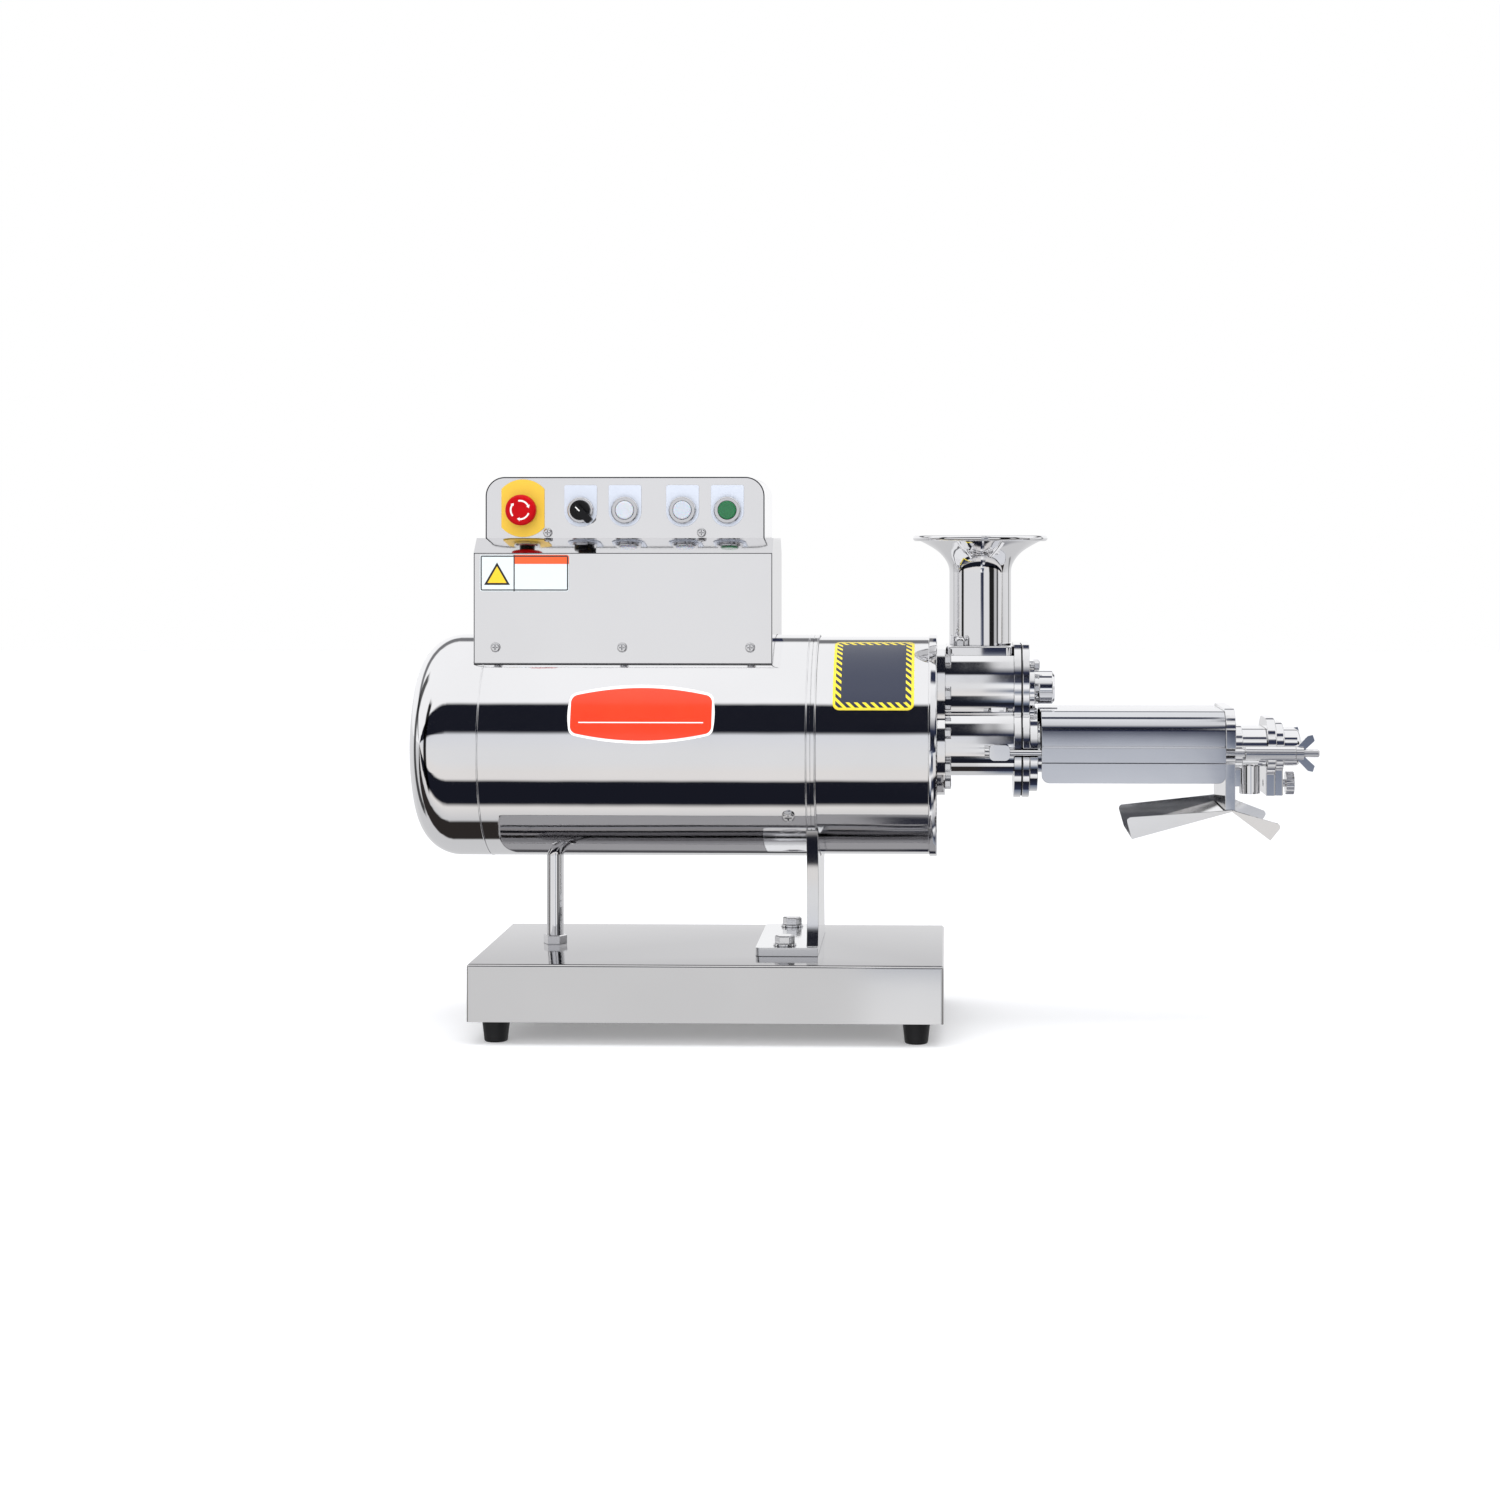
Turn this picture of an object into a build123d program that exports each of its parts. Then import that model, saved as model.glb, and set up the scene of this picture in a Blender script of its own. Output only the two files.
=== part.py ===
from build123d import *
import os
from math import acos, asin, atan2, cos, degrees, hypot, pi, radians, sin, sqrt

# Industrial twin-gear juice extractor, in millimetres, +Z up.
# Origin: bottom centre of the whole machine. +X runs towards the discharge end, -Y is the control side.

os.makedirs("parts", exist_ok=True)

# ---- driving dimensions ----
LENGTH_END = 474.0            # half of the overall length
AXIS_Z = 293.0                # height of the barrel and drive axis
SHEET = 1.5                   # folded sheet of the covers
HEAVY_SHEET = 2.0             # sheet of the base and the barrel

# stand
BASE_X0, BASE_X1 = -395.0, 87.0
BASE_HALF_Y = 140.0
BASE_Z0, BASE_Z1 = 23.5, 82.0
BASE_BEND = 6.0
BASE_LIP = 42.0
FOOT_X = (-369.0, 59.0)
FOOT_Y = 114.0
FOOT_TOP_R, FOOT_BOTTOM_R = 14.5, 11.75
POST_X, POST_R = -325.5, 9.0
POST_NUT_FLATS, POST_NUT_HIGH = 21.6, 9.5
BRACKET_X0, BRACKET_X1 = -54.5, -42.5
BRACKET_FOOT_X0 = -107.0
BRACKET_FOOT_THICK = 9.0
BRACKET_TIP_Y, BRACKET_TIP_Z = 84.0, -82.0
BRACKET_FOOT_HALF_Y = 84.0
BRACKET_WAIST_Y = 66.0
BRACKET_BOLT_X, BRACKET_BOLT_Y = -77.5, 66.0

# barrel
BARREL_R = 116.5
GEARBOX_R = 114.5
CAP_TIP_X = -LENGTH_END
CAP_CROWN_R = 345.0
CAP_CORNER_R = 42.9
CAP_SEAM_X = -389.0
MOTOR_X1 = -53.5
RING_X1 = -44.5
GEARBOX_X1 = 71.8
COVER_X1 = 79.7
BARREL_SCREW_X, BARREL_SCREW_ANGLE = -72.0, -34.0
MAKER_PLATE_X = (-296.7, -146.4)
MAKER_PLATE_Z = (10.0, 68.5)              # lowest and highest point above the axis
MAKER_PLATE_BOW, MAKER_PLATE_END_BOW = 9.0, 2.5
HAZARD_PLATE_X = (-26.5, 56.5)
HAZARD_PLATE_ANGLES = (22.5, 73.5)
LABEL_THICK = 0.5

# motor
STATOR_X0, STATOR_X1, STATOR_BORE = -330.0, -170.0, 64.0
ROTOR_X0, ROTOR_X1, ROTOR_R = -326.0, -174.0, 62.5
SHAFT_R = 14.0
SHAFT_X0 = -420.0
FAN_X0, FAN_X1, FAN_R, FAN_BLADES = -414.0, -396.0, 84.0, 9
SHIELDS_X = ((-372.0, -364.0), (-134.0, -126.0))
RUNNING = 0.05                # radial running clearance of every shaft in its bearing

# two-stage reducer and the drive to the crushing roller
SCREW_Y = 20.0                # half of the distance between the twin screws
ROLLER_Z = 61.4
STAGE_MODULE = 1.6
STAGE_ONE_TEETH = (12, 60)
STAGE_TWO_TEETH = (14, 58)
ROLLER_DRIVE_TEETH = 40
SCREW_GEAR_TEETH = 12
STAGE_ONE_X = (-30.0, -14.0)
STAGE_TWO_X = (-8.0, 10.0)
ROLLER_DRIVE_X = (28.0, 42.0)
REAR_PLATE_X = (-44.5, -34.5)
MID_PLATE_X = (14.0, 24.0)
INTERMEDIATE_R = 8.0
DRIVE_R = 12.0
BEARING_WALL = 9.0
SEAL_WALL = 6.0

# feed housing
HOUSING_FLANGE_X = (COVER_X1, 88.0)
HOUSING_BODY_X1 = 160.0
CASING_FLANGE_X1 = 167.0
GASKET_X1 = 168.5
FRONT_PLATE_X1 = 176.0
SCREEN_FLANGE_X1 = 184.3
LOBE_R = 30.0                 # rounded lower corners of the housing body
BODY_LOWER_R, BODY_LOWER_Z = 50.0, 4.5       # bulge round the screws
BODY_FOOT_Z = -15.0           # where that bulge meets the rounded lower corners
BODY_UPPER_R, BODY_UPPER_Z = 52.0, 68.6      # bulge round the crushing roller
BORE_R = 25.0                 # bore of each screw chamber
ROLLER_BORE_R = 22.0
COLLAR_TOP, COLLAR_THICK = 106.5, 10.0
COLLAR_HALF_Y = 42.0
NECK_HALF_Y = 13.0
FLANGE_LOWER_R, FLANGE_HALF_Y = 53.5, 62.0
FLANGE_UPPER_R, FLANGE_TOP = 58.0, 108.0
REAR_FLANGE_R, REAR_FLANGE_HALF_Y = 51.0, 65.0
REAR_FLANGE_UPPER_R, REAR_FLANGE_TOP = 67.0, 104.0
HOUSING_BOLTS = ((55.3, 93.0), (59.6, 58.0), (57.1, 17.0), (54.0, -18.0), (38.0, -37.0))
CAP_BOLTS = ((16.0, 85.0), (23.0, 61.4))
BOSS_R, BOSS_X1 = 17.5, 203.4

# hopper
HOPPER_X = 125.3
HOPPER_R = 32.5
HOPPER_FLARE = ((32.5, 476.0), (36.3, 488.5), (44.3, 497.6), (56.5, 505.4), (68.0, 510.8))   # (r, height)
HOPPER_WALL = 2.0
HOPPER_LIP_R = 3.0
SPIGOT_R, SPIGOT_DEPTH = 29.9, 12.0

# press
SCREW_X0 = 96.0
SCREW_GEAR_X1 = 122.0
SCREW_MAIN_X1 = 372.0
SCREW_END_X1 = 437.0
SCREW_TIP_R, SCREW_ROOT_R = 23.4, 15.4
SCREW_STARTS = 6
SCREW_TWIST = 300.0
SCREEN_X0, SCREEN_X1 = SCREEN_FLANGE_X1, 377.3
SCREEN_THICK = 1.5
HOOD_X0, HOOD_X1 = 187.8, 377.3
HOOD_TOP, HOOD_CORNER_R = 39.6, 20.0
HOOD_FOOT_Y, HOOD_FOOT_Z = 64.0, 4.0
HOOD_BAND_Y, HOOD_BAND_Z = 67.0, -12.5
HOOD_SKIRT_Y, HOOD_SKIRT_Z = 65.0, -34.0
ROD_Y, ROD_Z, ROD_R = 58.0, -3.0, 4.0
ROD_X0, ROD_X1 = 134.0, LENGTH_END
SLEEVE_X = (397.5, 449.5)
SLEEVE_R = 7.25
WING_NUT_X = (449.5, 457.5)
WING_R, WING_SPAN, WING_X1 = 7.0, 19.0, 469.0
HANGER_X1 = 387.6
HANGER_HALF_Y, HANGER_TOP = 66.0, 42.5
DISCHARGE_FLANGE_X1 = 397.0
DISCHARGE_X1 = 423.0
END_FLANGE_X = ((423.0, 432.0), (433.0, 441.0))
END_CAP_X1 = 458.5
END_BORE_R = 15.0
SPOUT_X, SPOUT_R, SPOUT_Z1 = 409.0, 8.0, -50.0
KNOB_X = (446.5, 455.0)
KNOB_R, KNOB_NECK_R, KNOB_Z = 12.0, 4.0, -39.0

# chute tray
TRAY_HALF_Y = 60.0
TRAY_TOP = (384.0, 229.5)
TRAY_LEFT_END = (281.0, 201.0)
TRAY_RIGHT_END = (423.4, 200.0)
TRAY_WALL_LEFT, TRAY_WALL_RIGHT = 24.0, 21.0
TRAY_SHEET = 1.5
TRAY_FLARE = 12.5             # lean of both side walls, in degrees
TRAY_BACK_RISE = 7.0          # height of the rear side walls at the ridge

# control box
BOX_X0, BOX_X1 = -399.0, -89.7
BOX_HALF_Y = 76.0
BOX_Z0, BOX_Z1 = 382.6, 496.6
PANEL_X0, PANEL_X1 = -389.7, -99.0
PANEL_Y, PANEL_BACK_Y = -58.0, 60.0
PANEL_Z0, PANEL_Z1 = 512.0, 575.5
PANEL_CORNER = 20.0
CONTROL_Z = 541.0
ESTOP_X, SELECTOR_X, REVERSE_X, LAMP_X, START_X = -350.6, -290.4, -244.2, -184.3, -137.6
CONTROL_HOLE_R = 11.2
BOX_SCREW_X, BOX_SCREW_Z = (-376.2, -244.9, -112.6), 399.0
COVER_SCREW_X, COVER_SCREW_Z = (-324.7, -164.5), 517.5
PLATE_THICK = 0.8
GLAND_X, GLAND_Z, GLAND_BORE_R = -300.0, 430.0, 6.0


# ---- helpers ----
def save(node, *solids):
    """Write one node, which may hold several separate solids."""
    flat = [piece for solid in solids for piece in solid.solids()]
    shape = flat[0] if len(flat) == 1 else Compound(children=flat)
    export_step(shape, f"parts/{node}.step")


def rod_x(radius, x0, x1, y=0.0, z=0.0):
    """Cylinder along X; z is measured from the drive axis."""
    return Pos((x0 + x1) / 2, y, AXIS_Z + z) * Rot(0, 90, 0) * Cylinder(radius, x1 - x0)


def ring_x(outer, inner, x0, x1, y=0.0, z=0.0):
    return rod_x(outer, x0, x1, y, z) - rod_x(inner, x0 - 1, x1 + 1, y, z)


def rod_y(radius, y0, y1, x, z):
    """Cylinder along Y; z is the height above the floor."""
    return Pos(x, (y0 + y1) / 2, z) * Rot(90, 0, 0) * Cylinder(radius, abs(y1 - y0))


def rod_z(radius, z0, z1, x, y):
    return Pos(x, y, (z0 + z1) / 2) * Cylinder(radius, z1 - z0)


def block(x0, x1, y0, y1, z0, z1):
    return Pos((x0 + x1) / 2, (y0 + y1) / 2, (z0 + z1) / 2) * Box(abs(x1 - x0), abs(y1 - y0), abs(z1 - z0))


def slab_x(sketch, x0, x1):
    """Extrude a sketch of (y, z from the drive axis) from x0 to x1."""
    return extrude(Plane.YZ.offset(x0) * (Pos(0, AXIS_Z) * sketch), amount=x1 - x0)


def prism_y(points, y0, y1):
    """Extrude an outline of (x, height) points from y0 to y1."""
    face = make_face(Polyline(*[(x, y0, z) for x, z in points], close=True))
    return extrude(face, amount=y1 - y0, dir=(0, 1, 0))


def circle_at(radius, y, z):
    return Pos(y, z) * Circle(radius)


def twin(radius, half):
    """Two circles side by side and the web between them."""
    web = Rectangle(2 * half, 2 * radius)
    return circle_at(radius, -half, 0) + circle_at(radius, half, 0) + web


def hexagon(flats, high):
    return extrude(RegularPolygon(flats / 2, 6, major_radius=False), amount=high)


def bolt_x(flats, high, shank_r, shank_long, x, y, z):
    """Hexagon bolt with its head starting at x and its shank running towards -X."""
    head = Plane(origin=(x, y, AXIS_Z + z), z_dir=(1, 0, 0)) * chamfer_top(hexagon(flats, high), 0.8)
    return head + rod_x(shank_r, x - shank_long, x + 0.1, y, z)


def chamfer_top(solid, size):
    return chamfer(solid.faces().sort_by(Axis.Z)[-1].edges(), size)


def gear_face(teeth, module, root_drop=1.2, tip_rise=0.85, backlash=0.06):
    """Involute-like gear outline on YZ axes, with a tooth on the first axis."""
    pitch_r = teeth * module / 2
    base_r = pitch_r * cos(radians(20))
    tip_r = pitch_r + tip_rise * module
    root_r = pitch_r - root_drop * module
    half_pitch_angle = pi / (2 * teeth) * (1 - backlash)

    def involute(r):
        return sqrt(max((r / base_r) ** 2 - 1, 0)) - acos(min(base_r / r, 1))

    flank = [max(base_r, root_r), (max(base_r, root_r) + pitch_r) / 2, pitch_r, tip_r]
    half_tooth = [(r, half_pitch_angle + involute(pitch_r) - involute(r)) for r in flank]
    half_tooth = [(root_r, half_tooth[0][1])] + half_tooth
    outline = []
    for index in range(teeth):
        middle = 2 * pi * index / teeth
        for r, a in half_tooth:
            outline.append((r * cos(middle - a), r * sin(middle - a)))
        for r, a in reversed(half_tooth):
            outline.append((r * cos(middle + a), r * sin(middle + a)))
    clean = [outline[0]]
    for point in outline[1:]:
        if hypot(point[0] - clean[-1][0], point[1] - clean[-1][1]) > 1e-3:
            clean.append(point)
    return make_face(Polyline(*clean, close=True))


def gear_x(teeth, module, x0, x1, y, z, turn, **shape):
    """Spur gear along X; turn is the angle in degrees of one tooth from +Y towards +Z."""
    return slab_x(Pos(y, z) * Rot(0, 0, turn) * gear_face(teeth, module, **shape), x0, x1)


# ---- stand ----
def base_pan():
    outer = block(BASE_X0, BASE_X1, -BASE_HALF_Y, BASE_HALF_Y, BASE_Z0, BASE_Z1)
    outer = fillet(outer.edges().filter_by(Axis.Z), 3.0)
    outer = fillet(outer.faces().sort_by(Axis.Z)[-1].edges(), BASE_BEND / 2)
    inner = block(BASE_X0 + HEAVY_SHEET, BASE_X1 - HEAVY_SHEET, HEAVY_SHEET - BASE_HALF_Y,
                  BASE_HALF_Y - HEAVY_SHEET, BASE_Z0 + HEAVY_SHEET, BASE_Z1 - HEAVY_SHEET)
    mouth = block(BASE_X0 + BASE_LIP, BASE_X1 - BASE_LIP, BASE_LIP - BASE_HALF_Y,
                  BASE_HALF_Y - BASE_LIP, BASE_Z0 - 1, BASE_Z1 - HEAVY_SHEET)
    pan = outer - inner - mouth
    for x, y in foot_places():
        pan -= rod_z(2.5, BASE_Z0 - 1, BASE_Z0 + HEAVY_SHEET + 1, x, y)
    for side in (-1, 1):
        pan -= rod_z(6.0, BASE_Z1 - HEAVY_SHEET - 1, BASE_Z1 + 1, BRACKET_BOLT_X, side * BRACKET_BOLT_Y)
    save("base_pan", pan)


def foot_places():
    return [(x, side * FOOT_Y) for x in FOOT_X for side in (-1, 1)]


def feet():
    """Write the rubber feet and hand back the screws that hold them."""
    rubber, screws = [], []
    for x, y in foot_places():
        cone = Pos(x, y, BASE_Z0 / 2) * Cone(FOOT_BOTTOM_R, FOOT_TOP_R, BASE_Z0)
        cone = fillet(cone.faces().sort_by(Axis.Z)[0].edges(), 2.0)
        cone -= rod_z(5.5, -1, 6.0, x, y) + rod_z(2.5, 5, BASE_Z0 + 1, x, y)
        rubber.append(cone)
        head = rod_z(4.6, 3.0, 6.0, x, y)
        shank = rod_z(2.5, 5.9, BASE_Z0 + HEAVY_SHEET + 3.0, x, y)
        nut = Pos(x, y, BASE_Z0 + HEAVY_SHEET) * hexagon(8.0, 3.0)
        screws.append(head + shank + nut)
    save("rubber_feet", *rubber)
    return screws


def rear_post():
    post = rod_z(POST_R, BASE_Z1, AXIS_Z, POST_X, 0) - rod_x(BARREL_R, CAP_SEAM_X, MOTOR_X1)
    nut = Pos(POST_X, 0, BASE_Z1) * chamfer_top(hexagon(POST_NUT_FLATS, POST_NUT_HIGH), 1.0)
    nut -= rod_z(POST_R, BASE_Z1 - 1, BASE_Z1 + POST_NUT_HIGH + 1, POST_X, 0)
    save("rear_post", post)
    save("rear_post_nut", nut)


def front_bracket():
    bottom = BASE_Z1 - AXIS_Z
    tip_y, tip_z = BRACKET_TIP_Y, BRACKET_TIP_Z
    with BuildSketch() as outline:
        with BuildLine():
            side = ThreePointArc((tip_y, tip_z), (BRACKET_WAIST_Y, (bottom + tip_z) / 2 - 8),
                                 (BRACKET_FOOT_HALF_Y - 6, bottom))
            Line(side @ 1, (6 - BRACKET_FOOT_HALF_Y, bottom))
            other = ThreePointArc((6 - BRACKET_FOOT_HALF_Y, bottom),
                                  (-BRACKET_WAIST_Y, (bottom + tip_z) / 2 - 8), (-tip_y, tip_z))
            Line(other @ 1, (-tip_y + 4, tip_z + 8))
            Line((-tip_y + 4, tip_z + 8), (tip_y - 4, tip_z + 8))
            Line((tip_y - 4, tip_z + 8), (tip_y, tip_z))
        make_face()
    cradle = slab_x(outline.sketch - Circle(BARREL_R), BRACKET_X0, BRACKET_X1)
    foot = block(BRACKET_FOOT_X0, BRACKET_X1, -BRACKET_FOOT_HALF_Y, BRACKET_FOOT_HALF_Y, BASE_Z1,
                 BASE_Z1 + BRACKET_FOOT_THICK)
    foot = fillet(foot.edges().filter_by(Axis.Z).sort_by(Axis.X)[:2], 6.0)
    bracket = cradle + foot
    for side_sign in (-1, 1):
        bracket -= rod_z(6.0, BASE_Z1 - 1, BASE_Z1 + 20, BRACKET_BOLT_X, side_sign * BRACKET_BOLT_Y)
    save("front_bracket", bracket)


def bracket_fasteners():
    pieces = []
    top = BASE_Z1 + BRACKET_FOOT_THICK
    for side in (-1, 1):
        x, y = BRACKET_BOLT_X, side * BRACKET_BOLT_Y
        washer = rod_z(12.0, top, top + 2.5, x, y) - rod_z(6.0, top - 1, top + 4, x, y)
        head = Pos(x, y, top + 2.5) * chamfer_top(hexagon(18.0, 8.0), 1.2)
        bolt = head + rod_z(6.0, BASE_Z1 - HEAVY_SHEET - 14, top + 2.6, x, y)
        nut = Pos(x, y, BASE_Z1 - HEAVY_SHEET - 10) * hexagon(18.0, 10.0)
        nut -= rod_z(6.0, BASE_Z1 - HEAVY_SHEET - 11, BASE_Z1 - HEAVY_SHEET + 1, x, y)
        pieces += [bolt, washer, nut]
    save("bracket_fasteners", *pieces)


# ---- barrel ----
def cap_outline(inset):
    """Half section of the domed cap in (x, r), set in by the sheet's thickness."""
    crown_x = CAP_TIP_X + CAP_CROWN_R
    corner_r = BARREL_R - CAP_CORNER_R
    corner_x = crown_x - sqrt((CAP_CROWN_R - CAP_CORNER_R) ** 2 - corner_r ** 2)
    slope = atan2(corner_r, crown_x - corner_x)
    crown, corner = CAP_CROWN_R - inset, CAP_CORNER_R - inset
    middle_slope = (slope + pi / 2) / 2
    tip = (crown_x - crown, 0)
    crown_mid = (crown_x - crown * cos(slope / 2), crown * sin(slope / 2))
    joint = (crown_x - crown * cos(slope), crown * sin(slope))
    corner_mid = (corner_x - corner * cos(middle_slope), corner_r + corner * sin(middle_slope))
    shoulder = (corner_x, BARREL_R - inset)
    end = (CAP_SEAM_X, BARREL_R - inset)
    lines = ThreePointArc(tip, crown_mid, joint) + ThreePointArc(joint, corner_mid, shoulder)
    lines += Line(shoulder, end)
    lines += Polyline(end, (CAP_SEAM_X, 0), tip)
    return make_face(lines)


def spun_x(face):
    """Turn an (x, r) half section about the drive axis."""
    return Pos(0, 0, AXIS_Z) * revolve(Plane.XZ * face, Axis.X, 360)


def barrel():
    cap = spun_x(cap_outline(0)) - spun_x(cap_outline(HEAVY_SHEET))
    save("rear_cap", cap)
    shell = ring_x(BARREL_R, BARREL_R - HEAVY_SHEET, CAP_SEAM_X, MOTOR_X1)
    shell -= barrel_screw_hole()
    save("motor_shell", shell)
    joint = ring_x(BARREL_R, BARREL_R - 14.0, MOTOR_X1, RING_X1)
    groove = ring_x(BARREL_R + 1, BARREL_R - 0.6, MOTOR_X1 + 4.0, MOTOR_X1 + 5.0)
    save("joint_ring", joint - groove)
    shell = ring_x(GEARBOX_R, GEARBOX_R - HEAVY_SHEET, RING_X1, GEARBOX_X1)
    save("gearbox_shell", shell)
    cover = rod_x(BARREL_R, GEARBOX_X1, COVER_X1)
    cover = fillet(cover.faces().sort_by(Axis.X)[-1].edges(), 1.2)
    for y, z, r in ((-SCREW_Y, 0, DRIVE_R), (0, ROLLER_Z, INTERMEDIATE_R)):
        cover -= rod_x(r + SEAL_WALL, GEARBOX_X1 - 1, COVER_X1 + 1, y, z)
    save("front_cover", cover)


def barrel_screw_frame():
    angle = radians(BARREL_SCREW_ANGLE)
    outward = (0, -cos(angle), sin(angle))
    foot = (BARREL_SCREW_X, outward[1] * BARREL_R, AXIS_Z + outward[2] * BARREL_R)
    return Plane(origin=foot, z_dir=outward)


def barrel_screw_hole():
    return barrel_screw_frame() * Cylinder(3.0, 20.0)


def pan_head(radius, high, shank_r, shank_long):
    """Pan head screw standing on z = 0 with a cross recess."""
    head = extrude(Circle(radius), amount=high)
    head = fillet(head.faces().sort_by(Axis.Z)[-1].edges(), high * 0.55)
    for turn in (0, 90):
        head -= Pos(0, 0, high) * Rot(0, 0, turn) * Box(radius * 1.1, radius * 0.22, high)
    return head + Pos(0, 0, -shank_long / 2) * Cylinder(shank_r, shank_long + 0.1)


def pan_head_screws():
    pieces = feet()
    pieces.append(barrel_screw_frame() * pan_head(6.5, 3.4, 3.0, 8.0))
    for x in BOX_SCREW_X:
        place = Plane(origin=(x, -BOX_HALF_Y, BOX_SCREW_Z), z_dir=(0, -1, 0))
        pieces.append(place * pan_head(4.9, 3.0, 2.0, 6.0))
    for x in COVER_SCREW_X:
        place = Plane(origin=(x, PANEL_Y, COVER_SCREW_Z), z_dir=(0, -1, 0))
        pieces.append(place * pan_head(4.6, 2.8, 2.0, 6.0))
    save("pan_head_screws", *pieces)


def curved_plate(radius, x0, x1, angle0, angle1, thick):
    """Thin plate lying on a shell of the barrel's front side; angles above the horizontal."""
    sector = []
    for angle in (angle0, angle1):
        sector.append((-300 * cos(radians(angle)), 300 * sin(radians(angle))))
    wedge = make_face(Polyline((0, 0), sector[0], sector[1], close=True))
    plate = slab_x((Circle(radius + thick) - Circle(radius)) & wedge, x0, x1)
    return plate


def labels():
    x0, x1 = MAKER_PLATE_X
    low, high = (degrees(asin(z / BARREL_R)) for z in MAKER_PLATE_Z)
    maker = curved_plate(BARREL_R, x0 - 5, x1 + 5, low - 6.0, high + 6.0, LABEL_THICK)
    save("maker_plate", maker & bowed_prism(x0, x1, *MAKER_PLATE_Z, 8.0))
    save("hazard_plate", curved_plate(GEARBOX_R, *HAZARD_PLATE_X, *HAZARD_PLATE_ANGLES, LABEL_THICK))
    plate = block(-392.4, -300.1, -BOX_HALF_Y - LABEL_THICK, -BOX_HALF_Y, 457.0, 494.6)
    save("voltage_plate", fillet(plate.edges().filter_by(Axis.Y), 2.5))


def bowed_prism(x0, x1, z0, z1, corner):
    """Badge outline seen from the front, every side bowed outwards, cut through to the axis plane."""
    left, right = x0 + MAKER_PLATE_END_BOW, x1 - MAKER_PLATE_END_BOW
    low, high = AXIS_Z + z0 + MAKER_PLATE_BOW, AXIS_Z + z1 - MAKER_PLATE_BOW
    middle_x, middle_z = (x0 + x1) / 2, (low + high) / 2
    corners = [(left, low), (right, low), (right, high), (left, high)]
    crowns = [(middle_x, AXIS_Z + z0), (x1, middle_z), (middle_x, AXIS_Z + z1), (x0, middle_z)]
    sides = []
    for k, crown in enumerate(crowns):
        (xa, za), (xb, zb) = corners[k], corners[(k + 1) % 4]
        sides.append(ThreePointArc((xa, -60, za), (crown[0], -60, crown[1]), (xb, -60, zb)))
    prism = extrude(make_face(sides), amount=140, dir=(0, -1, 0))
    return fillet(prism.edges().filter_by(Axis.Y), corner)


# ---- motor and reducer ----
def intermediate_place():
    """Centre of the intermediate shaft, equally far from the motor axis and the drive shaft."""
    reach = STAGE_MODULE * sum(STAGE_ONE_TEETH) / 2
    return -SCREW_Y / 2, -sqrt(reach ** 2 - (SCREW_Y / 2) ** 2)


def motor():
    stator = ring_x(BARREL_R - HEAVY_SHEET, STATOR_BORE, STATOR_X0, STATOR_X1)
    coils = [ring_x(98.0, STATOR_BORE + 6, x0, x1)
             for x0, x1 in ((STATOR_X0 - 22, STATOR_X0), (STATOR_X1, STATOR_X1 + 22))]
    save("stator", stator, *coils)
    shields = [ring_x(BARREL_R - HEAVY_SHEET, SHAFT_R + BEARING_WALL, x0, x1) for x0, x1 in SHIELDS_X]
    save("motor_end_shields", *shields)

    core = rod_x(ROTOR_R, ROTOR_X0, ROTOR_X1)
    shaft = rod_x(SHAFT_R, SHAFT_X0, REAR_PLATE_X[1] + 2)
    hub = rod_x(26.0, FAN_X0, FAN_X1)
    plate = rod_x(FAN_R, FAN_X1 - 2, FAN_X1)
    blades = [Pos(0, 0, AXIS_Z) * Rot(360.0 * k / FAN_BLADES, 0, 0)
              * Pos((FAN_X0 + FAN_X1) / 2, 0, (FAN_R + 22) / 2) * Box(FAN_X1 - FAN_X0, 2.0, FAN_R - 22)
              for k in range(FAN_BLADES)]
    pinion = gear_x(STAGE_ONE_TEETH[0], STAGE_MODULE, *STAGE_ONE_X, 0, 0, stage_one_angle())
    neck = rod_x(7.0, REAR_PLATE_X[1] + 1, STAGE_ONE_X[1])
    rotor = core + shaft + hub + plate + pinion + neck
    for blade in blades:
        rotor += blade
    save("rotor", rotor)


def stage_one_angle():
    y, z = intermediate_place()
    return degrees(atan2(z, y))


def stage_two_angle():
    """Direction from the intermediate shaft to the drive shaft."""
    y, z = intermediate_place()
    return degrees(atan2(-z, -SCREW_Y - y))


def roller_angle():
    return degrees(atan2(ROLLER_Z, SCREW_Y))


def roller_module():
    return hypot(SCREW_Y, ROLLER_Z) / ROLLER_DRIVE_TEETH


def intermediate_shaft():
    y, z = intermediate_place()
    shaft = rod_x(INTERMEDIATE_R, REAR_PLATE_X[0] + 1, MID_PLATE_X[1] - 1, y, z)
    teeth = STAGE_ONE_TEETH[1]
    wheel = gear_x(teeth, STAGE_MODULE, *STAGE_ONE_X, y, z, stage_one_angle() + 180 + 180 / teeth)
    pinion = gear_x(STAGE_TWO_TEETH[0], STAGE_MODULE, STAGE_ONE_X[1] - 1, STAGE_TWO_X[1], y, z,
                    stage_two_angle())
    save("intermediate_shaft", shaft + wheel + pinion)


def drive_gears():
    """Reducer output wheel and the roller drive wheel, both on the drive shaft."""
    teeth = STAGE_TWO_TEETH[1]
    turn = stage_two_angle() + 180 + 180 / teeth
    wheel = gear_x(teeth, STAGE_MODULE, *STAGE_TWO_X, -SCREW_Y, 0, turn)
    roller_wheel = gear_x(ROLLER_DRIVE_TEETH, roller_module(), *ROLLER_DRIVE_X, -SCREW_Y, 0,
                          roller_angle())
    return wheel + roller_wheel


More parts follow.
